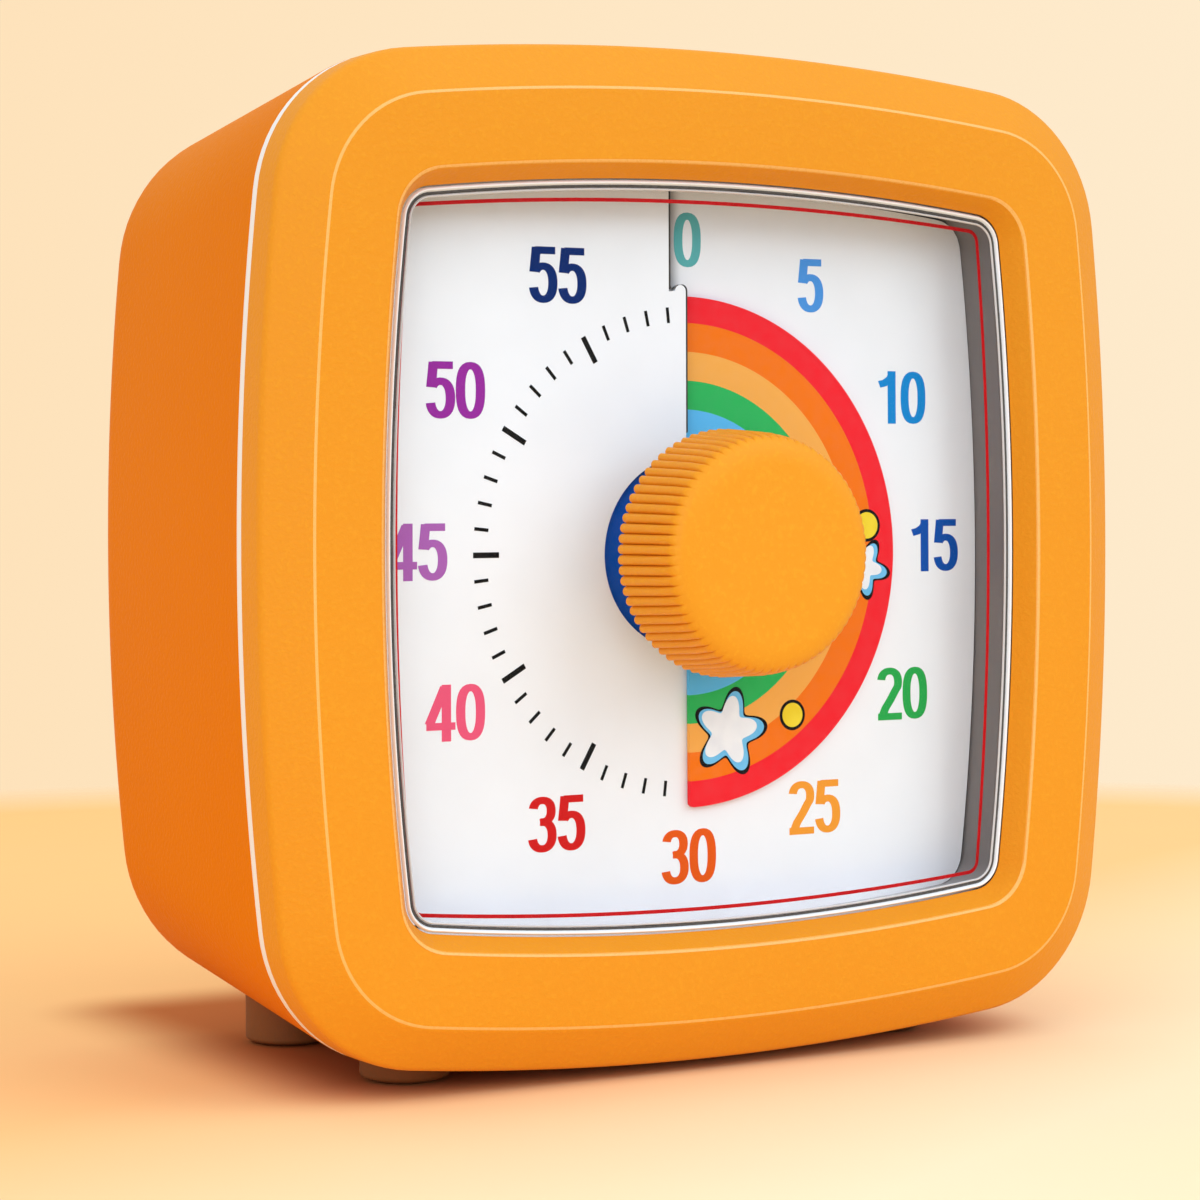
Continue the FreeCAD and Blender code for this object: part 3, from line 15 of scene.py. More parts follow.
import bmesh
import bpy
import numpy as np
from mathutils import Matrix, Vector


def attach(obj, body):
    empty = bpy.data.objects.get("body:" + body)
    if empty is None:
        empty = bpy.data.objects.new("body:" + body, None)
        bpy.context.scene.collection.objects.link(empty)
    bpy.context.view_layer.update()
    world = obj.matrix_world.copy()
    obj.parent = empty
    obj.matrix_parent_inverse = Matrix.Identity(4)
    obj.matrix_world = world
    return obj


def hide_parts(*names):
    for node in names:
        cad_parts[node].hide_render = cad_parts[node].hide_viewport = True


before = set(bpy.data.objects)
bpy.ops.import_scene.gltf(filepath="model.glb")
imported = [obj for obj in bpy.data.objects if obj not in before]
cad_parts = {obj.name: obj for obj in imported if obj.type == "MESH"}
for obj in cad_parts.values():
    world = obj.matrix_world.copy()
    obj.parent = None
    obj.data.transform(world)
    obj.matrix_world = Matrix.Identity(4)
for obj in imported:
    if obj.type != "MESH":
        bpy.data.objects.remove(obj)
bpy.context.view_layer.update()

LOG = logging.getLogger("timer")
MM = 0.001
CASE_CENTRE = np.array([0.0, -17.525, 40.9])
AXIS_HEIGHT = 0.3
CASE_HALF = 40.0
CASE_BOW = 211.0
CASE_CORNER = 12.3
INNER_HALF = 38.2
INNER_CORNER = 10.5
BORE = 2.05
WELL_BACK = 9.6
DISC_PITCH = 1.4
FULL_TURN = 2.0 * math.pi
Socket = bpy.types.NodeSocket


class Body(str, Enum):
    """Bodies of the CAD frame that new pieces ride on."""

    CASE = "case"
    DRIVE = "dial_drive"
    DISC = "disc"


# ---------------------------------------------------------------- surfaces


def to_frame(points: np.ndarray) -> np.ndarray:
    """Turn case millimetres into the row frame's metres: (p + centre) / 1000."""
    return (points + CASE_CENTRE) * MM


def bezier_corners(corners: np.ndarray, softness: Sequence[float], steps: int = 7,
                   closed: bool = True) -> np.ndarray:
    """Round the corners of a profile.

    Each corner P becomes the quadratic curve (1-s)^2 A + 2 s (1-s) P + s^2 B,
    where A and B lie at its softness before and after P on the two legs.

    Args:
        corners: Rows of values; the first two are the position in mm and the
            rest are carried along in the same way.
        softness: Distance from the corner to A and to B for each row, in mm.
        steps: Points on each rounded corner.
        closed: Whether the last row joins the first.

    Returns:
        The rows of the rounded profile.
    """
    soft = np.asarray(softness, float)
    before, after = np.roll(corners, 1, axis=0), np.roll(corners, -1, axis=0)
    if not closed:
        before[0], after[-1] = corners[0], corners[-1]
    reach_before = np.linalg.norm((before - corners)[:, :2], axis=1)
    reach_after = np.linalg.norm((after - corners)[:, :2], axis=1)
    share_before = np.minimum(soft / np.maximum(reach_before, 1e-9), 0.5)[:, None]
    share_after = np.minimum(soft / np.maximum(reach_after, 1e-9), 0.5)[:, None]
    start = corners + (before - corners) * share_before
    end = corners + (after - corners) * share_after
    s = np.linspace(0.0, 1.0, steps)[None, :, None]
    rows = ((1 - s) ** 2 * start[:, None] + 2 * s * (1 - s) * corners[:, None]
            + s ** 2 * end[:, None])
    return rows.reshape(-1, corners.shape[1])


def bowed_outline(half: np.ndarray, bow: np.ndarray, corner: np.ndarray,
                  side: int = 26, turn: int = 16) -> np.ndarray:
    """Points round a square whose sides bow outwards and whose corners are round.

    Each side is an arc of radius bow about (half - bow, 0). Each corner is an
    arc about the point (c, c) that is tangent to both sides, which gives
    c = (k + sqrt(2 (bow - corner)^2 - k^2)) / 2 with k = half - bow.

    Args:
        half: Half width in the middle of a side, for each row, in mm.
        bow: Radius of the side arcs for each row, in mm.
        corner: Radius of the corner arcs for each row, in mm.
        side: Points on each side.
        turn: Points on each corner.

    Returns:
        An array of rows by points by (x, z).
    """
    half, bow, corner = (np.asarray(item, float)[:, None] for item in (half, bow, corner))
    back = half - bow
    centre = (back + np.sqrt(2 * (bow - corner) ** 2 - back ** 2)) / 2
    sweep = np.arctan2(centre, centre - back)
    along = sweep * np.linspace(-1, 1, side, endpoint=False)
    round_it = sweep + (math.pi / 2 - 2 * sweep) * np.linspace(0, 1, turn, endpoint=False)
    x = np.concatenate([back + bow * np.cos(along), centre + corner * np.cos(round_it)], axis=1)
    z = np.concatenate([bow * np.sin(along), centre + corner * np.sin(round_it)], axis=1)
    quarters = [(x, z), (-z, x), (-x, -z), (z, -x)]
    return np.stack([np.concatenate([q[0] for q in quarters], axis=1),
                     np.concatenate([q[1] for q in quarters], axis=1)], axis=2)


def sweep_outline(profile: np.ndarray) -> np.ndarray:
    """Carry rows of (depth, half, bow, corner) round the bowed square."""
    flat = bowed_outline(profile[:, 1], profile[:, 2], profile[:, 3])
    depth = np.broadcast_to(profile[:, 0:1], flat.shape[:2])
    return np.stack([flat[..., 0], depth, flat[..., 1]], axis=2)


def revolve(profile: np.ndarray, x: float, height: float, count: int = 48) -> np.ndarray:
    """Turn rows of (radius, depth) about the depth axis through (x, height)."""
    angle = np.linspace(0, FULL_TURN, count, endpoint=False)[None, :]
    radius, depth = profile[:, 0:1], profile[:, 1:2]
    return np.stack([x + radius * np.cos(angle), np.broadcast_to(depth, (len(profile), count)),
                     height + radius * np.sin(angle)], axis=2)


def tube_rows(bore: float, radius: float, front: float, back: float) -> np.ndarray:
    """Closed section of a plain tube between two depths: rows of (radius, depth)."""
    return np.array([(bore, back), (radius, back), (radius, front), (bore, front)])


def rounded_rectangle(width: float, tall: float, corner: float, turn: int = 6) -> np.ndarray:
    """Points (x, z) round a rectangle: four quarter arcs of the corner radius."""
    quarter = np.linspace(0, math.pi / 2, turn)
    signs = np.array([[1, 1], [-1, 1], [-1, -1], [1, -1]], float)
    centre = signs * np.array([width / 2 - corner, tall / 2 - corner])
    angle = quarter[None, :] + np.arange(4)[:, None] * math.pi / 2
    x = centre[:, 0:1] + corner * np.cos(angle)
    z = centre[:, 1:2] + corner * np.sin(angle)
    return np.stack([x.ravel(), z.ravel()], axis=1)


class Surface:
    """Grids of points in millimetres that make up one piece."""

    def __init__(self) -> None:
        """Start with no points."""
        self.points: list[np.ndarray] = []
        self.quads: list[np.ndarray] = []
        self.count = 0

    def grid(self, points: np.ndarray, wrap_rows: bool = False,
             wrap_columns: bool = False) -> "Surface":
        """Add a grid of points and the faces between neighbours.

        Args:
            points: Rows by columns by (x, y, z).
            wrap_rows: Whether the last row joins the first.
            wrap_columns: Whether the last column joins the first.

        Returns:
            This surface, so that calls can follow each other.
        """
        rows, columns = points.shape[:2]
        r = np.arange(rows if wrap_rows else rows - 1)[:, None]
        c = np.arange(columns if wrap_columns else columns - 1)[None, :]
        r_next, c_next = (r + 1) % rows, (c + 1) % columns
        faces = np.stack([r * columns + c, r * columns + c_next,
                          r_next * columns + c_next, r_next * columns + c], axis=-1)
        self.quads.append(faces.reshape(-1, 4) + self.count)
        self.points.append(points.reshape(-1, 3))
        self.count += rows * columns
        return self

    def slab(self, flat: np.ndarray, front: np.ndarray, back: np.ndarray,
             wrap: bool = False) -> "Surface":
        """Add a plate between two depths over a grid of (x, z).

        Args:
            flat: Rows by columns by (x, z).
            front: Depth of the front face at each point.
            back: Depth of the back face at each point.
            wrap: Whether the columns close on themselves.

        Returns:
            This surface.
        """
        faces = [np.stack([flat[..., 0], np.broadcast_to(depth, flat.shape[:2]),
                           flat[..., 1]], axis=2) for depth in (front, back)]
        loop = np.concatenate([faces[0], faces[1][::-1]], axis=0)
        self.grid(loop, wrap_rows=True, wrap_columns=wrap)
        if not wrap:
            for column in (0, -1):
                self.grid(np.stack([faces[0][:, column], faces[1][:, column]], axis=1))
        return self

    def mesh(self, name: str) -> bpy.types.Mesh:
        """Make the Blender mesh, with its seams and poles merged and its faces outwards.

        Args:
            name: Name of the mesh.

        Returns:
            The mesh in row-frame metres.
        """
        points = to_frame(np.concatenate(self.points))
        faces = np.concatenate(self.quads)
        mesh = bpy.data.meshes.new(name)
        mesh.vertices.add(len(points))
        mesh.vertices.foreach_set("co", points.astype(np.float32).ravel())
        mesh.loops.add(faces.size)
        mesh.loops.foreach_set("vertex_index", faces.ravel().astype(np.int32))
        mesh.polygons.add(len(faces))
        mesh.polygons.foreach_set("loop_start", np.arange(0, faces.size, 4, dtype=np.int32))
        mesh.update(calc_edges=True)
        work = bmesh.new()
        work.from_mesh(mesh)
        bmesh.ops.remove_doubles(work, verts=work.verts, dist=2e-7)
        bmesh.ops.dissolve_degenerate(work, edges=work.edges, dist=1e-7)
        bmesh.ops.recalc_face_normals(work, faces=work.faces)
        work.to_mesh(mesh)
        work.free()
        return mesh


def shade(mesh: bpy.types.Mesh, sharp: float) -> None:
    """Shade smoothly, but keep edges beyond an angle in degrees sharp."""
    mesh.polygons.foreach_set("use_smooth", np.ones(len(mesh.polygons), bool))
    mesh.set_sharp_from_angle(angle=math.radians(sharp))


def make_piece(name: str, surface: Surface, finish: "Finish", body: Body,
               stands_for: Sequence[str] = (), sharp: float = 35.0) -> bpy.types.Object:
    """Make a piece from a surface, dress it and let it ride on its body.

    Args:
        name: Name of the piece.
        surface: Its grids.
        finish: Its finish.
        body: The body that it moves with.
        stands_for: CAD nodes that it replaces.
        sharp: Angle in degrees beyond which an edge stays sharp.

    Returns:
        The object.
    """
    mesh = surface.mesh(name)
    shade(mesh, sharp)
    mesh.materials.append(finish.material())
    piece = bpy.data.objects.new(name, mesh)
    bpy.context.scene.collection.objects.link(piece)
    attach(piece, body.value)
    if stands_for:
        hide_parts(*stands_for)
    LOG.info("%s: %d faces on %s", name, len(mesh.polygons), body.value)
    return piece


def cut_away(piece: bpy.types.Object, cutters: Surface) -> None:
    """Cut the shape of another surface out of a piece, and drop the cutter."""
    tool = bpy.data.objects.new("cutter", cutters.mesh("cutter"))
    bpy.context.scene.collection.objects.link(tool)
    step = piece.modifiers.new("openings", "BOOLEAN")
    step.operation = "DIFFERENCE"
    step.solver = "EXACT"
    step.use_self = True
    step.object = tool
    graph = bpy.context.evaluated_depsgraph_get()
    result = bpy.data.meshes.new_from_object(piece.evaluated_get(graph))
    piece.modifiers.clear()
    piece.data = result
    bpy.data.objects.remove(tool)
    shade(result, 35.0)


# ---------------------------------------------------------------- finishes


def linear(colour: str) -> tuple[float, float, float, float]:
    """Turn an sRGB hex colour into linear RGBA."""
    values = np.array([int(colour[i:i + 2], 16) for i in (1, 3, 5)]) / 255.0
    low, high = values / 12.92, ((values + 0.055) / 1.055) ** 2.4
    return (*np.where(values <= 0.04045, low, high).tolist(), 1.0)


class Graph:
    """A node tree, with short calls for its usual nodes; each gives back a socket."""

    def __init__(self, tree: bpy.types.NodeTree) -> None:
        """Empty the tree.

        Args:
            tree: The node tree of a material or a world.
        """
        self.tree = tree
        tree.nodes.clear()

    def add(self, kind: str, settings: Optional[dict] = None,
            links: Optional[dict] = None) -> bpy.types.Node:
        """Add one node with its settings and its links.

        Args:
            kind: The node's type name, without ShaderNode.
            settings: Attributes by name, or input values by input name or number.
            links: Output sockets by input name or number.

        Returns:
            The node.
        """
        node = self.tree.nodes.new(f"ShaderNode{kind}")
        for key, setting in (settings or {}).items():
            if isinstance(key, str) and hasattr(node, key):
                setattr(node, key, setting)
        for key, setting in (settings or {}).items():
            if isinstance(key, int) or not hasattr(node, key):
                node.inputs[key].default_value = setting
        for key, socket in (links or {}).items():
            self.tree.links.new(socket, node.inputs[key])
        return node

    def place(self) -> Socket:
        """Object coordinates, in metres."""
        return self.add("TexCoord").outputs["Object"]

    def noise(self, place: Socket, size_mm: float, detail: float = 2.0,
              roughness: float = 0.5) -> Socket:
        """Noise whose features are about size_mm across."""
        return self.add("TexNoise", {"Scale": 1.0 / (size_mm * MM), "Detail": detail,
                                     "Roughness": roughness}, {"Vector": place}).outputs["Fac"]

    def spread(self, value: Socket, low: float, high: float, start: float = 0.0,
               end: float = 1.0, kind: str = "LINEAR") -> Socket:
        """Map a value from start..end onto low..high."""
        return self.add("MapRange", {"interpolation_type": kind, "From Min": start,
                                     "From Max": end, "To Min": low, "To Max": high},
                        {"Value": value}).outputs[0]

    def blend(self, share: Union[Socket, float], first: Union[Socket, str],
              second: Union[Socket, str], kind: str = "MIX") -> Socket:
        """Mix two colours, each given as a hex colour or as a socket."""
        settings, links = {"data_type": "RGBA", "blend_type": kind}, {}
        for number, part in ((0, share), (6, first), (7, second)):
            if isinstance(part, str):
                settings[number] = linear(part)
            elif isinstance(part, float):
                settings[number] = part
            else:
                links[number] = part
        return self.add("Mix", settings, links).outputs[2]

    def sum_up(self, operation: str, first: Socket, second: Union[Socket, float]) -> Socket:
        """Join a value with a number or with another value."""
        if isinstance(second, float):
            return self.add("Math", {"operation": operation, 1: second}, {0: first}).outputs[0]
        return self.add("Math", {"operation": operation}, {0: first, 1: second}).outputs[0]

    def vector(self, operation: str, first: Socket,
               second: Optional[tuple[float, float, float]] = None) -> Socket:
        """Join a vector with a fixed one; lengths and dot products give a value."""
        settings = {"operation": operation}
        if second is not None:
            settings[1] = second
        node = self.add("VectorMath", settings, {0: first})
        return node.outputs["Value" if operation in ("LENGTH", "DOT_PRODUCT") else "Vector"]

    def bump(self, height: Socket, strength: float, distance_mm: float) -> Socket:
        """Turn a height into a normal."""
        return self.add("Bump", {"Strength": strength, "Distance": distance_mm * MM},
                        {"Height": height}).outputs[0]

    def ramp(self, share: Socket, stops: Sequence[tuple[float, str]],
             kind: str = "LINEAR") -> Socket:
        """Pick a colour by a share, from stops of place and hex colour."""
        node = self.add("ValToRGB", links={"Fac": share})
        ramp = node.color_ramp
        ramp.interpolation = kind
        while len(ramp.elements) > 1:
            ramp.elements.remove(ramp.elements[-1])
        ramp.elements[0].position = stops[0][0]
        ramp.elements[0].color = linear(stops[0][1])
        for place, colour in stops[1:]:
            ramp.elements.new(place).color = linear(colour)
        return node.outputs["Color"]

    def link(self, shader: bpy.types.Node, **sockets: Socket) -> None:
        """Link sockets to a shader's inputs; an underscore stands for a space."""
        for name, socket in sockets.items():
            self.tree.links.new(socket, shader.inputs[name.replace("_", " ")])


@dataclass(frozen=True)
class Finish:
    """A finish that is made once and shared by its pieces."""

    name: str

    def material(self) -> bpy.types.Material:
        """Return the Blender material, made on first use."""
        found = bpy.data.materials.get(self.name)
        if found:
            return found
        made = bpy.data.materials.new(self.name)
        made.use_nodes = True
        graph = Graph(made.node_tree)
        shader = graph.add("BsdfPrincipled")
        graph.add("OutputMaterial", links={"Surface": shader.outputs[0]})
        self.dress(graph, shader, graph.place())
        return made

    def dress(self, graph: Graph, shader: bpy.types.Node, place: Socket) -> None:
        """Add the finish's own nodes to the shader."""
        raise NotImplementedError


@dataclass(frozen=True)
class MouldedPlastic(Finish):
    """Injection-moulded plastic with an etched grain and a slow drift of colour."""

    colour: str
    deep: str
    roughness: float = 0.46
    grain_mm: float = 0.34
    grain_height: float = 0.012
    fleck: float = 0.10
    gloss: float = 0.3

    def dress(self, graph: Graph, shader: bpy.types.Node, place: Socket) -> None:
        """Grain drives bump, roughness and fine flecks; a wide noise drifts the colour."""
        grain = graph.noise(place, self.grain_mm, roughness=0.55)
        drift = graph.spread(graph.noise(place, 22, 1.0), 0.0, 0.22, 0.3, 0.7)
        base = graph.blend(drift, self.colour, self.deep)
        flecks = graph.spread(grain, 0.0, self.fleck, 0.52, 0.72)
        rough = graph.spread(grain, self.roughness - 0.07, self.roughness + 0.07, 0.3, 0.7)
        graph.link(shader, Base_Color=graph.blend(flecks, base, self.colour, "SCREEN"),
                   Roughness=rough, Normal=graph.bump(grain, 1.0, self.grain_height))
        shader.inputs["IOR"].default_value = 1.53
        shader.inputs["Specular IOR Level"].default_value = self.gloss


@dataclass(frozen=True)
class PrintedCard(Finish):
    """Matt coated plastic sheet or a screen-printed ink with a faint mottle."""

    colour: str
    shade: str
    roughness: float = 0.5
    mottle_mm: float = 1.6

    def dress(self, graph: Graph, shader: bpy.types.Node, place: Socket) -> None:
        """A cloudy noise mixes the two colours a little, moves the gloss and lifts the ink."""
        cloud = graph.noise(place, self.mottle_mm, 3.0)
        base = graph.blend(graph.spread(cloud, 0.0, 1.0, 0.35, 0.7), self.colour, self.shade)
        rough = graph.spread(cloud, self.roughness - 0.08, self.roughness + 0.08)
        graph.link(shader, Base_Color=base, Roughness=rough,
                   Normal=graph.bump(cloud, 0.12, 0.01))
        shader.inputs["Specular IOR Level"].default_value = 0.1


@dataclass(frozen=True)
class DialCard(PrintedCard):
    """Coated sheet with a painted shade that stands for the soft shadow in the step of the slit.
    """

    shade_from: float = -1.35
    shade_to: float = 0.25
    sheet_behind: float = 6.95

    def dress(self, graph: Graph, shader: bpy.types.Node, place: Socket) -> None:
        """The painted shade falls off to the right of the slit, only on the sheet behind it."""
        super().dress(graph, shader, place)
        base = shader.inputs["Base Color"].links[0].from_socket
        x, y, z = graph.add("SeparateXYZ", links={0: place}).outputs
        part = graph.spread(x, 0.9, 0.0, self.shade_from * MM, self.shade_to * MM, "SMOOTHSTEP")
        limits = ((x, -4.0), (y, CASE_CENTRE[1] + self.sheet_behind),
                  (z, CASE_CENTRE[2] + AXIS_HEIGHT))
        for value, limit in limits:
            mask = graph.sum_up("GREATER_THAN", value, float(limit * MM))
            part = graph.sum_up("MULTIPLY", part, mask)
        graph.link(shader, Base_Color=graph.blend(part, base, "#6E6763", "MULTIPLY"))


@dataclass(frozen=True)
class WellPlastic(MouldedPlastic):
    """Satin wall with painted light: paler on its left and lower sides, where the light falls."""

    # Colour of the painted light on the left and lower walls.
    pale: str = "#E2DFDD"

    def dress(self, graph: Graph, shader: bpy.types.Node, place: Socket) -> None:
        """The direction from the lower left to the upper right sets how much painted light is
        mixed in.
        """
        super().dress(graph, shader, place)
        base = shader.inputs["Base Color"].links[0].from_socket
        along = graph.vector("DOT_PRODUCT", place, (1.0, 0.0, 1.0))
        part = graph.spread(along, 1.0, 0.0, (CASE_CENTRE[2] - 12) * MM, (CASE_CENTRE[2] + 2) * MM)
        graph.link(shader, Base_Color=graph.blend(part, base, self.pale))


@dataclass(frozen=True)
class BandedPrint(Finish):
    """Disc sheet printed in rings of plain colour, by the distance from its axis."""

    bands: tuple[tuple[float, str], ...]

    def dress(self, graph: Graph, shader: bpy.types.Node, place: Socket) -> None:
        """Radius sqrt(x^2 + z^2) picks the ring; a fine noise breathes in the ink."""
        flat = graph.add("Mapping", {
            "Location": (0.0, 0.0, -(CASE_CENTRE[2] + AXIS_HEIGHT) * MM),
            "Scale": (1.0, 0.0, 1.0)}, {"Vector": place}).outputs[0]
        reach = self.bands[-1][0]
        share = graph.sum_up("DIVIDE", graph.vector("LENGTH", flat), reach * MM)
        starts = [0.0] + [end / reach for end, _ in self.bands[:-1]]
        ring = graph.ramp(share, [(start, colour) for start, (_, colour)
                                  in zip(starts, self.bands)], "CONSTANT")
        cloud = graph.noise(place, 0.9, 3.0)
        fade = graph.spread(cloud, 0.0, 0.015, 0.35, 0.75)
        graph.link(shader, Base_Color=graph.blend(fade, ring, "#FFFFFF"),
                   Normal=graph.bump(cloud, 0.1, 0.01))
        shader.inputs["Roughness"].default_value = 0.42
        shader.inputs["Specular IOR Level"].default_value = 0.08


@dataclass(frozen=True)
class ClearPlastic(Finish):
    """Clear moulded styrene, seen mostly by its gloss, with faint haze."""

    cover: float
    tint: str

    def dress(self, graph: Graph, shader: bpy.types.Node, place: Socket) -> None:
        """A little cover stands for haze; the gloss wavers over a wide noise."""
        haze = graph.noise(place, 9)
        graph.link(shader, Alpha=graph.spread(haze, self.cover * 0.85, self.cover * 1.15),
                   Roughness=graph.spread(haze, 0.04, 0.1))
        shader.inputs["Base Color"].default_value = linear(self.tint)
        shader.inputs["IOR"].default_value = 1.59


@dataclass(frozen=True)
class Metal(Finish):
    """Turned or pressed metal with fine tool lines and small stains."""

    colour: str
    stain: str
    roughness: float = 0.3
    line_mm: float = 0.25

    def dress(self, graph: Graph, shader: bpy.types.Node, place: Socket) -> None:
        """Stretched noise gives the tool lines; a wide noise gives the stains."""
        turned = graph.add("Mapping", {"Scale": (0.15, 1.0, 1.0)}, {"Vector": place}).outputs[0]
        lines = graph.noise(turned, self.line_mm)
        stains = graph.spread(graph.noise(place, 2.5, 3.0), 0.0, 0.5, 0.45, 0.75)
        graph.link(shader, Base_Color=graph.blend(stains, self.colour, self.stain),
                   Roughness=graph.spread(lines, self.roughness - 0.1, self.roughness + 0.12),
                   Normal=graph.bump(lines, 0.25, 0.01))
        shader.inputs["Metallic"].default_value = 1.0


@dataclass(frozen=True)
class CellJacket(Finish):
    """Printed shrink sleeve of a cell: a dark body, a copper band and steel ends."""

    half_length: float = 25.3

    def dress(self, graph: Graph, shader: bpy.types.Node, place: Socket) -> None:
        """The place along the cell picks the band; the ends are bare metal."""
        x = graph.add("SeparateXYZ", links={0: place}).outputs["X"]
        along = graph.spread(x, 0.0, 1.0, -self.half_length * MM, self.half_length * MM)
        sleeve = graph.ramp(along, [
            (0.0, "#B9BCBF"), (0.02, "#23262B"), (0.7, "#B0602F"), (0.74, "#E0A04A"),
            (0.76, "#B0602F"), (0.97, "#C9CBCE")], "CONSTANT")
        scuff = graph.noise(place, 1.2, 4.0)
        graph.link(shader, Base_Color=sleeve, Roughness=graph.spread(scuff, 0.22, 0.46),
                   Normal=graph.bump(scuff, 0.1, 0.02))
        shader.inputs["Metallic"].default_value = 0.35


@dataclass(frozen=True)
class BoardLacquer(Finish):
    """Green solder lacquer over etched copper tracks."""

    track_mm: float = 6.0

    def dress(self, graph: Graph, shader: bpy.types.Node, place: Socket) -> None:
        """Brick courses stand for the tracks and a fine weave for the glass cloth."""
        turned = graph.add("Mapping", {"Rotation": (math.pi / 2, 0.0, 0.0)}, {"Vector": place})
        tracks = graph.add("TexBrick", {
            "Color1": linear("#1E6B38"), "Color2": linear("#237841"), "Mortar": linear("#3F9A55"),
            "Scale": 1.0 / (self.track_mm * MM), "Mortar Size": 0.05},
            {"Vector": turned.outputs[0]})
        graph.link(shader, Base_Color=tracks.outputs["Color"],
                   Roughness=graph.spread(graph.noise(place, 0.5), 0.25, 0.45),
                   Normal=graph.bump(tracks.outputs["Fac"], 0.2, 0.03))


# Orange ABS of the case front: warm and bright, with a fine leather-like etch.
FRONT_ABS = MouldedPlastic("moulded_abs_front", "#E8911E", "#E48817", grain_height=0.05, gloss=0.1)
# Its crease and lip edges: a painted highlight, paler and glossier than the face, so they read as
# thin light lines.
EDGE_PAINTED_HIGHLIGHT = MouldedPlastic("abs_edge_painted_highlight", "#F6B058", "#F2A84E", roughness=0.3,
                          grain_height=0.003, gloss=0.4)
# Orange ABS of the rear shell: the same etch, with painted shade: a deeper tone than the front, as
# it lies away from the light.
REAR_ABS_PAINTED_SHADE = MouldedPlastic("moulded_abs_rear_painted_shade", "#E67900", "#E07200", grain_height=0.05, gloss=0.02)
# Knob: the same ABS with a coarser grain that catches small lights on its shoulder.
KNOB_ABS = MouldedPlastic("moulded_abs_knob", "#EB951E", "#E78D17", roughness=0.4,
                          grain_mm=0.42, grain_height=0.03, fleck=0.14, gloss=0.12)
# Trim between the halves: pale flexible plastic, which reads as a thin light line.
TRIM = MouldedPlastic("moulded_pale_trim", "#F2E8DC", "#E8DCCB", roughness=0.4, fleck=0.02,
                      grain_height=0.004)
# Well: satin grey plastic, with painted light that makes its left and lower walls paler.
WELL_GREY = WellPlastic("satin_grey_well", "#7D7774", "#706A67", roughness=0.36,
                           grain_height=0.004, fleck=0.02)
# Dial: coated white sheet, almost flat to the eye, with a painted shade beside the slit.
DIAL_WHITE = DialCard("coated_white_dial", "#FBFAFA", "#F7F6F6", roughness=0.52, mottle_mm=7)
SCALE_BLACK = PrintedCard("black_scale_ink", "#0B0B0C", "#1A1A1C", roughness=0.42)
RED_LINE = PrintedCard("red_line_ink", "#DC1A1E", "#CF161B", roughness=0.38)
OUTLINE_INK = PrintedCard("dark_outline_ink", "#15151A", "#0E0E12", roughness=0.4)
MOTIF_WHITE = PrintedCard("white_motif_ink", "#FBFAFA", "#F0F0F3", roughness=0.45)
MOTIF_BLUE = PrintedCard("light_blue_motif_ink", "#7CC9F2", "#6BBDEA", roughness=0.45)
MOTIF_YELLOW = PrintedCard("yellow_motif_ink", "#FBDD3C", "#F4D02A", roughness=0.45)
# Disc: printed styrene sheet in rings of colour.
DISC_PRINT = BandedPrint("ring_printed_disc", (
    (9.15, "#105CC8"), (11.43, "#62C0F0"), (13.77, "#30B85C"), (16.11, "#FDAF50"),
    (18.40, "#FB7812"), (22.0, "#F8242F")))
CLEAR = ClearPlastic("clear_styrene_window", 0.03, "#1A1C1E")
# Rim of the window: clear beads coloured with a white painted highlight and a pale grey painted
# reflection, with a painted shade in the groove between.
RIM_PAINTED_HIGHLIGHT = MouldedPlastic("rim_painted_highlight", "#FAF9F8", "#F0EFEE", roughness=0.16,
                            grain_height=0.001, fleck=0.0, gloss=0.6)
RIM_PAINTED_SHADE = MouldedPlastic("rim_groove_painted_shade", "#4C4744", "#403B38", roughness=0.3,
                           grain_height=0.001, fleck=0.0)
RIM_PAINTED_REFLECTION = MouldedPlastic("rim_painted_reflection", "#D5D1CE", "#C4C0BD", roughness=0.18,
                          grain_height=0.001, fleck=0.0, gloss=0.6)
# Painted shadow: a dark strip along the slit that stands for the shade in its step.
SLIT_SHADE = PrintedCard("slit_painted_shadow", "#4A4543", "#3A3634", roughness=0.5)
STEEL = Metal("zinc_plated_steel", "#C6C8CA", "#8F9296")
BRASS = Metal("turned_brass", "#D9B564", "#A37B35", roughness=0.26)
SPRING = Metal("nickel_spring_steel", "#D2D0CB", "#9A9893", roughness=0.22)
CHASSIS_ABS = MouldedPlastic("moulded_grey_abs", "#C9C6C2", "#B7B4B0", grain_height=0.008)
ACETAL = MouldedPlastic("machined_acetal", "#F0EEE6", "#E3E0D5", roughness=0.32, fleck=0.02)
MOTOR_CAN = Metal("drawn_motor_can", "#BFC2C5", "#8B8E93", roughness=0.34)
BLACK_RESIN = MouldedPlastic("black_moulded_resin", "#1B1B1D", "#121214", roughness=0.38)
RUBBER = MouldedPlastic("moulded_foot_rubber", "#8E5526", "#804C20", roughness=0.72,
                        grain_height=0.02)
CELL = CellJacket("printed_cell_sleeve")
BOARD = BoardLacquer("green_board_lacquer")

NUMERAL_INKS = {0: "#60B3B2", 5: "#4E97E1", 10: "#158AD2", 15: "#1252AC", 20: "#2BAA4E",
                25: "#F89E34", 30: "#EB5A12", 35: "#D61A1A", 40: "#F25A7C", 45: "#AF63B2",
                50: "#9A2C9C", 55: "#02286C"}


# ---------------------------------------------------------------- the case


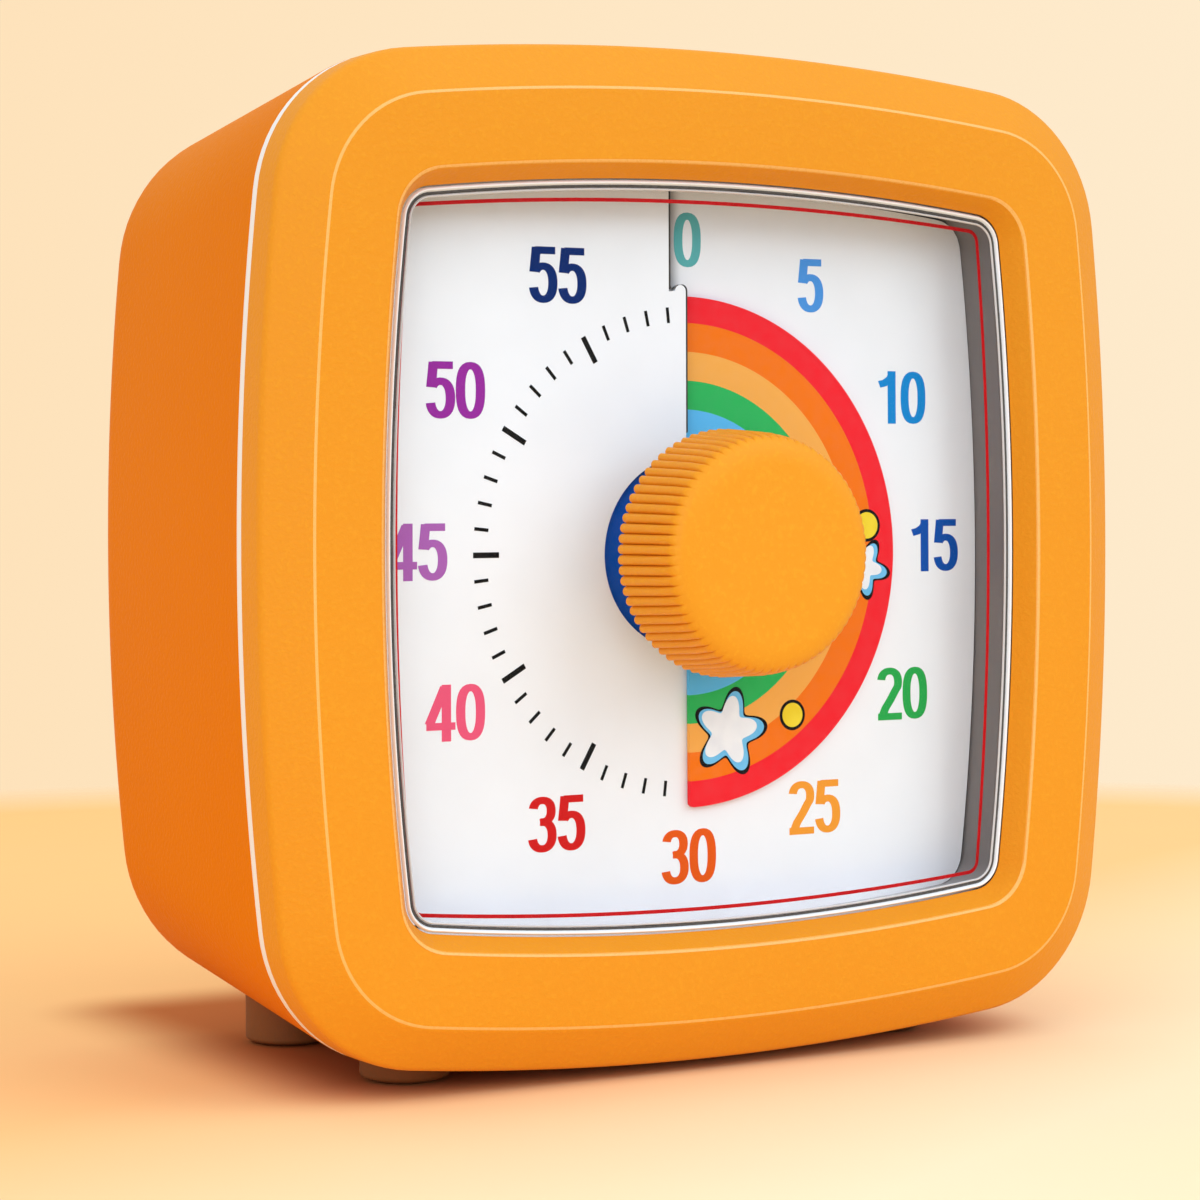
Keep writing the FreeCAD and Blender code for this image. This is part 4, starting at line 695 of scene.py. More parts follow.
@dataclass
class CaseFront:
    """Front frame with its sloping shoulder, window seat and screw bosses."""

    depth: float = 5.2
    shoulder_depth: float = 2.16
    crease: float = 36.54
    lip: float = 30.82
    rebate: float = 2.0
    boss_x: float = 34.9
    boss_z: float = 16.0

    def profile(self) -> np.ndarray:
        """Closed section rows of (depth, half, bow, corner), corners softened."""
        outer = (CASE_HALF, CASE_HALF + CASE_BOW, CASE_CORNER)
        inner = (INNER_HALF, INNER_HALF + CASE_BOW, INNER_CORNER)
        seat, lip_back = (31.35, 222.7, 4.3), (32.65, 224.0, 5.6)
        corners = np.array([
            (self.depth, *outer), (self.shoulder_depth, *outer), (0.0, self.crease, 235.0, 9.05),
            (0.0, self.lip, 228.0, 4.15), (self.rebate, 29.67, 221.0, 2.64),
            (self.rebate, *seat), (self.depth, *seat), (self.depth, *lip_back),
            (self.rebate + 0.6, *lip_back), (self.rebate + 0.6, *inner), (self.depth, *inner)])
        softness = (0.08, 0.5, 0.35, 0.3, 0.08, 0.05, 0.1, 0.1, 0.1, 0.1, 0.1)
        return bezier_corners(corners, softness)

    def build(self) -> None:
        """Sweep the frame and turn its four bosses."""
        surface = Surface().grid(sweep_outline(self.profile()), True, True)
        boss = tube_rows(1.02, 2.0, 2.5, 9.6)
        for x, z in product((-self.boss_x, self.boss_x), (-self.boss_z, self.boss_z)):
            surface.grid(revolve(boss, x, z, 20), True, True)
        make_piece("bezel_frame", surface, FRONT_ABS, Body.CASE, ("front_bezel",))
        # Thin strips on the crease and on the lip, coloured as a painted highlight.
        edges = Surface()
        for rows in (((0.005, 36.37), (0.036, 36.53), (0.112, 36.67)),
                     ((-0.012, 31.0), (0.045, 30.87), (0.15, 30.75))):
            front = np.array(rows)
            loop = np.concatenate([front, front[::-1] + np.array([0.06, 0.0])])
            share = (loop[:, 1] - self.lip) / (self.crease - self.lip)
            edges.grid(sweep_outline(np.column_stack(
                [loop, 228.0 + 7.0 * share, 4.15 + 4.9 * share])), True, True)
        make_piece("painted_edge_highlights", edges, EDGE_PAINTED_HIGHLIGHT, Body.CASE)


@dataclass
class SeamTrim:
    """Pale ring between the front frame and the rear shell."""

    front: float = 5.2
    back: float = 6.0
    inset: float = 0.02

    def build(self) -> None:
        """Sweep a small rounded bar round the case."""
        half = CASE_HALF - self.inset
        outer = (half, half + CASE_BOW, CASE_CORNER - self.inset)
        inner = (INNER_HALF, INNER_HALF + CASE_BOW, INNER_CORNER)
        corners = np.array([(self.front, *inner), (self.front, *outer), (self.back, *outer),
                            (self.back, *inner)])
        surface = Surface().grid(
            sweep_outline(bezier_corners(corners, (0.02, 0.07, 0.07, 0.02))), True, True)
        make_piece("seam_trim", surface, TRIM, Body.CASE, ("seam_ring",))


@dataclass
class RearShell:
    """Tapering rear shell with its battery bay, tubes and openings."""

    front: float = 6.0
    back: float = 41.25
    wall: float = 1.8
    draft: float = math.radians(5.0)
    bay_low: float = -21.65
    bay_high: float = -5.35
    bay_half: float = 28.45
    bay_floor: float = 24.55
    ledge: float = 1.4
    tube_end: float = 39.5
    tube_at: float = 27.0
    switch_height: float = 18.5
    switch_reach: float = 3.8
    sounder_height: float = 9.0
    sound_ring: float = 3.0
    sound_hole: float = 0.7
    screw_hole: float = 2.1
    pulled_in: float = 0.3

    def shell(self) -> np.ndarray:
        """Section rows from the middle of the back, round the rim, to the inner middle."""
        end = CASE_HALF - (self.back - self.front) * math.tan(self.draft) - self.pulled_in
        inner_back = self.back - self.wall
        inner_end = INNER_HALF - (inner_back - self.front) * math.tan(self.draft)
        middle, halfway = (0.004, 0.027, 0.0013), (16.0, 107.5, 5.33)
        corners = np.array([
            (self.back, *middle), (self.back, *halfway),
            (self.back, end, end + CASE_BOW, CASE_CORNER),
            (self.front, CASE_HALF, CASE_HALF + CASE_BOW, CASE_CORNER),
            (self.front, INNER_HALF, INNER_HALF + CASE_BOW, INNER_CORNER),
            (inner_back, inner_end, inner_end + CASE_BOW, INNER_CORNER),
            (inner_back, *halfway), (inner_back, *middle)])
        return bezier_corners(corners, (0, 0, 4.6, 0.16, 0.05, 1.0, 0, 0), 12, closed=False)

    @staticmethod
    def stack_rings(surface: Surface, height: float,
                    rings: Sequence[tuple[np.ndarray, float]]) -> None:
        """Join rings of (x, z), each at its own depth, about a height.

        Args:
            surface: The surface to add to.
            height: Height of the rings' middle.
            rings: Each ring's points and its depth; a ring of zeros closes the end.
        """
        grid = np.stack([np.stack([flat[:, 0], np.full(len(flat), depth),
                                   flat[:, 1] + height], axis=1) for flat, depth in rings])
        surface.grid(grid, False, True)

    def block(self, surface: Surface, half: float, heights: tuple[float, float],
              depths: tuple[float, float], corner: float) -> None:
        """Add a closed block with round upright corners.

        Args:
            surface: The surface to add to.
            half: Half of its width.
            heights: Its lower and upper limit.
            depths: Its front and back, measured from the shell's back face.
            corner: Radius of its corners.
        """
        low, high = heights
        front, back = self.back + depths[0], self.back + depths[1]
        ring = rounded_rectangle(2 * half, high - low, corner)
        self.stack_rings(surface, (low + high) / 2, (
            (ring * 0, front), (ring, front), (ring, back), (ring * 0, back)))

    def openings(self) -> Surface:
        """Cutters: door recess and bay, switch recess and slot, sound holes, screw holes."""
        cut = Surface()
        low, high, switch = self.bay_low, self.bay_high, self.switch_height
        self.block(cut, self.bay_half + self.ledge, (low, high + self.ledge), (-1.6, 3.0), 0.9)
        self.block(cut, self.bay_half, (low + 0.01, high), (-4.0, -1.0), 0.3)
        self.block(cut, self.switch_reach + 1.5, (switch - 2.4, switch + 2.4), (-0.9, 2.0), 1.2)
        self.block(cut, self.switch_reach, (switch - 1.1, switch + 1.1), (-4.0, -0.5), 0.2)
        places = []
        for turn, away in [(math.pi / 3 * n, self.sound_ring) for n in range(6)] + [(0.0, 0.0)]:
            places.append((away * math.cos(turn), self.sounder_height + away * math.sin(turn),
                           self.sound_hole, 20))
        for x, z in product((-self.tube_at, self.tube_at), repeat=2):
            places.append((x, z, self.screw_hole, 28))
        for x, z, radius, count in places:
            pin = np.array([(0.001, self.back - 4.0), (radius, self.back - 4.0),
                            (radius, self.back + 3.0), (0.001, self.back + 3.0)])
            cut.grid(revolve(pin, x, z, count), False, True)
        return cut

    def build(self) -> None:
        """Make the shell, cut its openings and stand the bay and tubes in it."""
        shell = make_piece("rear_shell", Surface().grid(sweep_outline(self.shell()), False, True),
                           REAR_ABS_PAINTED_SHADE, Body.CASE, ("rear_housing",))
        cut_away(shell, self.openings())
        inner = Surface()
        wide, tall = 2 * self.bay_half, self.bay_high - self.bay_low
        ring = rounded_rectangle(wide, tall, 0.3)
        outer = rounded_rectangle(wide + 2 * self.ledge, tall + 2 * self.ledge, 0.8)
        under, rim = self.bay_floor - self.ledge, self.back - 1.7
        self.stack_rings(inner, (self.bay_low + self.bay_high) / 2, (
            (outer * 0, under), (outer, under), (outer, rim), (ring, rim),
            (ring, self.bay_floor), (ring * 0, self.bay_floor)))
        tube = np.array([(1.15, 20.2), (3.2, 20.2), (3.2, self.tube_end),
                         (self.screw_hole, self.tube_end), (self.screw_hole, 22.6),
                         (1.15, 22.6)])
        for x, z in product((-self.tube_at, self.tube_at), repeat=2):
            inner.grid(revolve(tube, x, z, 28), True, True)
        for x, z in product((-14.5, 14.5), (6.0, 21.0)):
            inner.grid(revolve(tube_rows(1.02, 1.8, self.tube_end, 33.85), x, z, 20), True, True)
        make_piece("bay_and_tubes", inner, REAR_ABS_PAINTED_SHADE, Body.CASE)


@dataclass
class Feet:
    """Four rubber feet, pressed into the underside."""

    radius: float = 3.6
    across: float = 23.0

    def build(self) -> None:
        """Turn each pair about upright axes: radius and height rows, corners softened."""
        for name, depth, top in (("front_feet", 12.0, -37.61), ("rear_feet", 33.0, -35.77)):
            surface = Surface()
            floor = -float(CASE_CENTRE[2])
            corners = np.array([(0.001, floor), (self.radius - 0.9, floor),
                                (self.radius, floor + 0.35), (self.radius, top), (0.001, top)])
            rows = bezier_corners(corners, (0, 0.3, 0.3, 0.2, 0), 5, closed=False)
            for x in (-self.across, self.across):
                turned = revolve(rows, 0.0, 0.0, 40)
                standing = np.stack([turned[..., 0] + x, turned[..., 2] + depth,
                                     turned[..., 1]], axis=2)
                surface.grid(standing, False, True)
            make_piece(f"rubber_{name}", surface, RUBBER, Body.CASE, (name,))


# ---------------------------------------------------------------- window and well


@dataclass
class Window:
    """Clear window with its moulded rim, red printed line and grey well."""

    half: float = 31.25
    front: float = 2.01
    back: float = 3.3
    hole: float = 3.6
    bow: float = 191.3
    line_half: float = 28.26
    line_width: float = 0.3

    def ring_to_hole(self, depth: float, half: float) -> np.ndarray:
        """Rows that shrink from the outline to the round hole: (1-t) outline + t circle."""
        outer = bowed_outline([half], [half + self.bow], [max(half - 27.0, 1.0)])[0]
        angle = np.arctan2(outer[:, 1] - AXIS_HEIGHT, outer[:, 0])
        circle = np.stack([self.hole * np.cos(angle),
                           AXIS_HEIGHT + self.hole * np.sin(angle)], axis=1)
        t = np.array([0.0, 0.35, 0.7, 0.93, 1.0])[:, None, None]
        flat = (1 - t) * outer[None] + t * circle[None]
        return np.stack([flat[..., 0], np.full(flat.shape[:2], depth), flat[..., 1]], axis=2)

    def build_lens(self) -> None:
        """Join the front and back sheets at the edge and at the hole."""
        front, back = (self.ring_to_hole(depth, self.half) for depth in (self.front, self.back))
        surface = Surface().grid(np.concatenate([front, back[::-1]]), True, True)
        make_piece("window_sheet", surface, CLEAR, Body.CASE, ("window_lens",))

    def build_rim(self) -> None:
        """Beads and a groove on the sheet, the stepped rim of the window, coloured as painted
        highlight, painted shade and painted reflection.
        """
        for name, middle, width, height, finish in (
                ("window_rim_outer", 29.40, 0.19, 0.30, RIM_PAINTED_HIGHLIGHT),
                ("window_rim_groove", 29.10, 0.12, 0.06, RIM_PAINTED_SHADE),
                ("window_rim_inner", 28.88, 0.10, 0.14, RIM_PAINTED_REFLECTION)):
            corners = np.array([
                (self.front + 0.05, middle + width, 0, 0), (self.front - height, middle, 0, 0),
                (self.front + 0.05, middle - width, 0, 0)])
            corners[:, 2] = corners[:, 1] + self.bow
            corners[:, 3] = np.maximum(corners[:, 1] - 27.03, 0.6)
            rows = bezier_corners(corners, (0.02, width, 0.02), 9)
            surface = Surface().grid(sweep_outline(rows), True, True)
            make_piece(name, surface, finish, Body.CASE, sharp=60.0)

    def build_line(self) -> None:
        """Thin printed frame on the back of the sheet."""
        outer = np.array([self.line_half, 280.0, 1.15])
        inner = outer - self.line_width
        near, far = self.back + 0.005, self.back + 0.025
        rows = np.array([(near, *outer), (near, *inner), (far, *inner), (far, *outer)])
        surface = Surface().grid(sweep_outline(rows), True, True)
        make_piece("red_window_line", surface, RED_LINE, Body.CASE)

    def build_well(self) -> None:
        """Upright wall between the window and the chassis."""
        outer, inner = (self.half, self.half + self.bow, 4.25), (29.75, 29.75 + self.bow, 2.75)
        corners = np.array([(self.back, *outer), (WELL_BACK, *outer), (WELL_BACK, *inner),
                            (self.back, *inner)])
        rows = bezier_corners(corners, (0.05, 0.05, 0.05, 0.3))
        surface = Surface().grid(sweep_outline(rows), True, True)
        make_piece("grey_well", surface, WELL_GREY, Body.CASE, ("dial_well",))

    def build(self) -> None:
        """Build the window's pieces."""
        self.build_lens()
        self.build_rim()
        self.build_line()
        self.build_well()


# ---------------------------------------------------------------- dial and disc


@dataclass(frozen=True)
class Helicoid:
    """Sheet that climbs to the front by one pitch in a full clockwise turn.

    The middle depth is start - pitch * angle / 360 with the angle in degrees
    clockwise from 12 o'clock.
    """

    start: float
    pitch: float
    plate: float

    def depth(self, degrees: np.ndarray) -> np.ndarray:
        """Middle depth at an angle."""
        return self.start - self.pitch * degrees / 360.0

    def sheet(self, surface: Surface, degrees: np.ndarray, radius: np.ndarray) -> None:
        """Add the plate over a grid of angles and radii.

        Args:
            surface: The surface to add to.
            degrees: Rows by columns of angles.
            radius: Rows by columns of radii in mm.
        """
        turn = np.radians(degrees)
        flat = np.stack([radius * np.sin(turn), AXIS_HEIGHT + radius * np.cos(turn)], axis=2)
        middle = self.depth(degrees)
        surface.slab(flat, middle - self.plate / 2, middle + self.plate / 2)


class Digit:
    """Strokes of one plain numeral, drawn by a broad pen about its own centre."""

    HALF_WIDTH = 1.29
    HALF_HEIGHT = 2.2
    PITCH = 2.64
    PEN = np.array([0.41, 0.29])

    @staticmethod
    def arc(x: float, z: float, rx: float, rz: float, start: float, end: float,
            power: float = 0.86) -> np.ndarray:
        """Points (x + rx cos^p a, z + rz sin^p a) between two angles in degrees."""
        angle = np.radians(np.linspace(start, end, 33))
        c, s = np.cos(angle), np.sin(angle)
        return np.stack([x + rx * np.sign(c) * np.abs(c) ** power,
                         z + rz * np.sign(s) * np.abs(s) ** power], axis=1)

    @classmethod
    def strokes(cls, digit: int) -> list[np.ndarray]:
        """Centre lines of a numeral from 0 to 5.

        Args:
            digit: The numeral.

        Returns:
            Arrays of (x, z) in mm.
        """
        tall = cls.HALF_HEIGHT
        x = cls.HALF_WIDTH - cls.PEN[0]
        top = tall - cls.PEN[1]
        if digit == 0:
            return [cls.arc(0, 0, x, top, 0, 360, 0.8)]
        if digit == 1:
            return [np.array([(0.42, -tall), (0.42, 0.0), (0.42, tall)]),
                    np.array([(0.5, 1.9), (0.2, 1.5), (-0.3, 1.2), (-0.86, 1.08)])]
        if digit == 2:
            bowl = cls.arc(0, 0.98, x, top - 0.98, 170, -22)
            leg = np.array([(0.6, 0.28), (0.1, -0.48), (-0.45, -1.2), (-0.78, -1.9)])
            return [np.concatenate([bowl, leg]),
                    np.array([(-1.22, -top), (0.0, -top), (1.26, -top)])]
        if digit == 3:
            return [cls.arc(-0.04, 1.06, x - 0.06, top - 1.06, 168, -100),
                    cls.arc(-0.04, -0.86, x + 0.02, top - 0.86, 100, -168)]
        if digit == 4:
            return [np.array([(0.5, -tall), (0.5, 0.0), (0.5, tall)]),
                    np.array([(0.36, 2.02), (-0.3, 0.62), (-1.0, -0.86)]),
                    np.array([(-1.26, -1.02), (0.0, -1.02), (1.29, -1.02)])]
        return [np.array([(-0.7, top), (0.1, top), (1.1, top)]),
                np.array([(-0.6, 2.14), (-0.7, 1.2), (-0.82, 0.2)]),
                cls.arc(0, -0.62, x, top - 0.62, 140, -166)]

    @classmethod
    def ribbons(cls, digit: int) -> list[np.ndarray]:
        """Widen each centre line by the pen.

        The edge lies at the line plus or minus (a^2 nx, b^2 nz) / sqrt(a^2 nx^2
        + b^2 nz^2), for the unit normal n and the pen's half sizes a and b.

        Args:
            digit: The numeral.

        Returns:
            Grids of two columns of (x, z) in mm.
        """
        made = []
        for line in cls.strokes(digit):
            tangent = np.gradient(line, axis=0)
            if np.allclose(line[0], line[-1]):
                tangent[0] = tangent[-1] = line[1] - line[-2]
            tangent /= np.linalg.norm(tangent, axis=1)[:, None]
            normal = np.stack([-tangent[:, 1], tangent[:, 0]], axis=1)
            spread = normal * cls.PEN ** 2
            spread /= np.sqrt((normal ** 2 * cls.PEN ** 2).sum(axis=1))[:, None]
            made.append(np.stack([line - spread, line + spread], axis=1))
        return made


@dataclass
class Dial:
    """White dial in one helical turn, with its slit, scale and numerals."""

    hole: float = 7.8
    step_radius: float = 21.0
    step_width: float = 1.9
    inner_cut: float = 0.3
    overlap: float = 8.0
    line_width: float = 0.17
    edge_half: float = 29.65
    helix: Helicoid = Helicoid(7.84, DISC_PITCH, 0.7)
    numeral_radius: float = 24.9
    numeral_lift: float = 0.3
    numeral_shift: float = 0.3
    first_shift: float = 0.45
    tick_end: float = 19.72
    nub_radius: float = 0.5
    post_at: float = 21.0
    knob_clear: float = 9.1
    slant: float = 0.7
    turn_steps: int = 361
    last_degree: float = 359.0

    def edge_radius(self, degrees: np.ndarray) -> np.ndarray:
        """Distance from the axis to the dial's outline at each angle."""
        ring = bowed_outline([self.edge_half], [220.95], [2.65], 120, 40)[0]
        angle = np.degrees(np.arctan2(ring[:, 0], ring[:, 1] - AXIS_HEIGHT)) % 360
        order = np.argsort(angle)
        reach = np.hypot(ring[:, 0], ring[:, 1] - AXIS_HEIGHT)
        return np.interp(degrees % 360, angle[order], reach[order], period=360)

    def slit(self, radius: np.ndarray, cut: np.ndarray) -> np.ndarray:
        """Angle at which the front edge ends, so that it lies at x = -cut."""
        return 360.0 - np.degrees(np.arcsin(cut / radius))

    def build_plate(self) -> None:
        """Make the inner ring, the outer field, the slit's nub and the posts behind."""
        surface = Surface()
        share = np.linspace(0, 1, self.turn_steps)[None, :]
        inner = np.linspace(self.hole, self.step_radius, 10)[:, None]
        cut = self.inner_cut + np.maximum(self.knob_clear - inner, 0) * self.slant
        end = self.slit(inner, cut)
        degrees = -self.overlap + share * (end + self.overlap)
        self.helix.sheet(surface, degrees, np.broadcast_to(inner, degrees.shape))
        part = np.linspace(0, 1, 9)[:, None]
        last = self.slit(np.array(self.step_radius + 4.0), np.array(self.step_width))
        rough = -self.overlap + share * (last + self.overlap)
        radius = self.step_radius + part * (self.edge_radius(rough) - self.step_radius)
        end = self.slit(radius[:, -1:], np.full((len(part), 1), self.step_width))
        degrees = -self.overlap + share * (end + self.overlap)
        self.helix.sheet(surface, degrees, radius)
        depth = float(self.helix.depth(np.array(self.last_degree)))
        front, back = depth - self.helix.plate / 2, depth + self.helix.plate / 2
        nub = np.array([(0.001, front), (self.nub_radius, front), (self.nub_radius, back),
                        (0.001, back)])
        surface.grid(revolve(nub, -self.nub_radius - self.inner_cut,
                             AXIS_HEIGHT + self.step_radius - 0.05, 24), False, True)
        for degrees in (45.0, 135.0, 225.0, 315.0):
            start = float(self.helix.depth(np.array(degrees)))
            post = np.array([(0.001, start), (1.5, start), (1.5, WELL_BACK), (0.001, WELL_BACK)])
            away = self.post_at * math.sqrt(2)
            surface.grid(revolve(post, away * math.sin(math.radians(degrees)),
                                 AXIS_HEIGHT + away * math.cos(math.radians(degrees)), 24),
                         False, True)
        make_piece("dial_sheet", surface, DIAL_WHITE, Body.CASE, ("dial",), 25.0)

    def build_slit_line(self) -> None:
        """Painted shadow along the slit: a thin dark strip on the front sheet's edge wall."""
        depth = float(self.helix.depth(np.array(self.last_degree)))
        turn = np.radians(np.linspace(0, 150, 11))
        nub = np.stack([self.nub_radius * (np.cos(turn) - 1) - self.inner_cut,
                        self.step_radius - 0.05 + self.nub_radius * np.sin(turn)], axis=1)
        path = np.concatenate([
            np.array([(-self.inner_cut, 9.6), (-self.inner_cut, 15.0)]), nub,
            np.array([(-self.step_width + 0.1, self.step_radius + 0.1),
                      (-self.step_width, self.step_radius + 0.3), (-self.step_width, 29.3)])])
        side = np.array([0.0, 1.0])[:, None, None] * np.array([self.line_width, 0.05])
        flat = path[None] + np.array([0.0, AXIS_HEIGHT]) + side
        surface = Surface().slab(flat, np.full(flat.shape[:2], depth - 0.33),
                                 np.full(flat.shape[:2], depth + 0.3))
        make_piece("slit_edge", surface, SLIT_SHADE, Body.CASE)

    def print_on(self, surface: Surface, flat: np.ndarray, near: float,
                 level: float = 0.02) -> None:
        """Lay a thin print over the dial's front.

        Args:
            surface: The surface to add to.
            flat: Rows by columns by (x, z); a line that ends where it began is closed.
            near: Angle of the print's middle in degrees, which picks the turn.
            level: Height of the print in mm.
        """
        closed = bool(np.allclose(flat[0], flat[-1]))
        flat = flat[:-1].transpose(1, 0, 2) if closed else flat
        degrees = np.degrees(np.arctan2(flat[..., 0], flat[..., 1] - AXIS_HEIGHT))
        degrees = near + (degrees - near + 180) % 360 - 180
        front = self.helix.depth(degrees) - self.helix.plate / 2
        surface.slab(flat, front - level, front + 0.01, closed)

    def build_ticks(self) -> None:
        """Print a short mark each minute and a longer one each five, but none at 0 and 30."""
        surface = Surface()
        for minute in (mark for mark in range(1, 60) if mark != 30):
            turn = math.radians(6 * minute)
            length, width = (2.3, 0.44) if minute % 5 == 0 else (1.25, 0.27)
            radius = np.array([self.tick_end - length, self.tick_end])[:, None]
            side = np.array([-width / 2, width / 2])[None, :]
            x = radius * math.sin(turn) + side * math.cos(turn)
            z = AXIS_HEIGHT + radius * math.cos(turn) - side * math.sin(turn)
            self.print_on(surface, np.stack([x, z], axis=2), 6.0 * minute)
        make_piece("minute_scale", surface, SCALE_BLACK, Body.CASE)

    def build_numerals(self) -> None:
        """Print the minutes in fives, upright, each in its own ink."""
        for minute, ink in NUMERAL_INKS.items():
            turn = math.radians(6 * minute)
            middle = self.numeral_radius * np.array([math.sin(turn), math.cos(turn)])
            middle += np.array([self.numeral_shift, AXIS_HEIGHT + self.numeral_lift])
            digits = [int(letter) for letter in str(minute)]
            if minute == 0:
                middle += np.array([self.first_shift, 0.0])
            surface = Surface()
            for number, digit in enumerate(digits):
                shift = (number - (len(digits) - 1) / 2) * Digit.PITCH
                for layer, ribbon in enumerate(Digit.ribbons(digit)):
                    flat = ribbon + middle + np.array([shift, 0.0])
                    self.print_on(surface, flat, 6.0 * minute, 0.016 + 0.004 * layer)
            finish = PrintedCard(f"numeral_ink_{minute:02d}", ink, ink, 0.44, 0.8)
            make_piece(f"numeral_{minute:02d}", surface, finish, Body.CASE)

    def build(self) -> None:
        """Build the dial's pieces."""
        self.build_plate()
        self.build_slit_line()
        self.build_ticks()
        self.build_numerals()


@dataclass
class ColourDisc:
    """Ring-printed disc of one helical turn, half a pitch in front of the dial."""

    radius: float = 20.6
    collar: float = 3.4
    end_corner: float = 0.4
    begins: float = 180.2
    gap: float = 0.2
    turn_steps: int = 361
    helix: Helicoid = Helicoid(8.54, DISC_PITCH, 0.4)

    def build_sheet(self) -> None:
        """One turn from just past 6 o'clock round to 6 o'clock, with a round end corner."""
        surface = Surface()
        straight = self.radius - self.end_corner
        rounding = straight + self.end_corner * np.sin(np.linspace(0.15, math.pi / 2, 8))
        radius = np.concatenate([np.linspace(self.collar - 0.1, straight, 12), rounding])[:, None]
        depth_in = np.maximum(radius - straight, 0) / self.end_corner
        corner = self.end_corner * (1 - np.sqrt(1 - np.minimum(depth_in, 1) ** 2))
        start = self.begins
        end = start + 360 - 2 * self.gap - np.degrees(corner / radius)
        degrees = start + np.linspace(0, 1, self.turn_steps)[None, :] * (end - start)
        self.helix.sheet(surface, degrees, np.broadcast_to(radius, degrees.shape))
        tube = tube_rows(BORE, self.collar, 8.14, 6.14)
        surface.grid(revolve(tube, 0.0, AXIS_HEIGHT, 48), True, True)
        make_piece("ring_disc", surface, DISC_PRINT, Body.DISC, ("colour_disc",),
                   25.0)

    def motif(self, name: str, finish: Finish, shape: np.ndarray, middle: tuple[float, float],
              level: float) -> None:
        """Print a closed shape on the disc.

        Args:
            name: Name of the piece.
            finish: Its ink.
            shape: Points (x, z) round the shape, about its own middle.
            middle: Place of the middle as (degrees, radius).
            level: Height of the print above the disc, in mm.
        """
        turn = math.radians(middle[0])
        centre = np.array([middle[1] * math.sin(turn), AXIS_HEIGHT + middle[1] * math.cos(turn)])
        share = np.array([0.0, 0.5, 1.0])[:, None, None]
        flat = centre + share * shape[None]
        degrees = np.degrees(np.arctan2(flat[..., 0], flat[..., 1] - AXIS_HEIGHT)) % 360
        front = self.helix.depth(degrees + 360.0) - self.helix.plate / 2
        surface = Surface().slab(flat, front - level, front + 0.02, wrap=True)
        make_piece(name, surface, finish, Body.DISC)

    @staticmethod
    def star(size: float, points: int = 5, inner: float = 0.56, turn: float = 0.0) -> np.ndarray:
        """A soft star: radius size (m + d cos(points a)) with m and d from the inner share."""
        angle = np.linspace(0, FULL_TURN, 120, endpoint=False)
        radius = size * ((1 + inner) / 2 + (1 - inner) / 2 * np.cos(points * angle))
        return np.stack([radius * np.sin(angle + turn), radius * np.cos(angle + turn)], axis=1)

    def build(self) -> None:
        """Build the disc and its plain star and dot prints."""
        self.build_sheet()
        for name, spot, size, turn in (("large_star", (165.0, 15.2), 3.4, 0.2),
                                       ("side_star", (95.0, 17.7), 2.3, 0.5)):
            off = np.array([-0.18, 0.16])
            for part, finish, shape, level in (
                    ("outline", OUTLINE_INK, self.star(size + 0.36, turn=turn), 0.02),
                    ("shadow", MOTIF_BLUE, self.star(size, turn=turn), 0.035),
                    ("face", MOTIF_WHITE, self.star(size * 0.84, turn=turn) + off, 0.05)):
                self.motif(f"{name}_{part}", finish, shape, spot, level)
        for name, spot, size in (("upper_dot", (83.5, 18.0), 1.1),
                                 ("lower_dot", (143.0, 16.9), 1.0)):
            for part, finish, reach, level in (("outline", OUTLINE_INK, size + 0.26, 0.02),
                                               ("face", MOTIF_YELLOW, size, 0.04)):
                self.motif(f"{name}_{part}", finish, self.star(reach, inner=1.0), spot, level)


# ---------------------------------------------------------------- knob


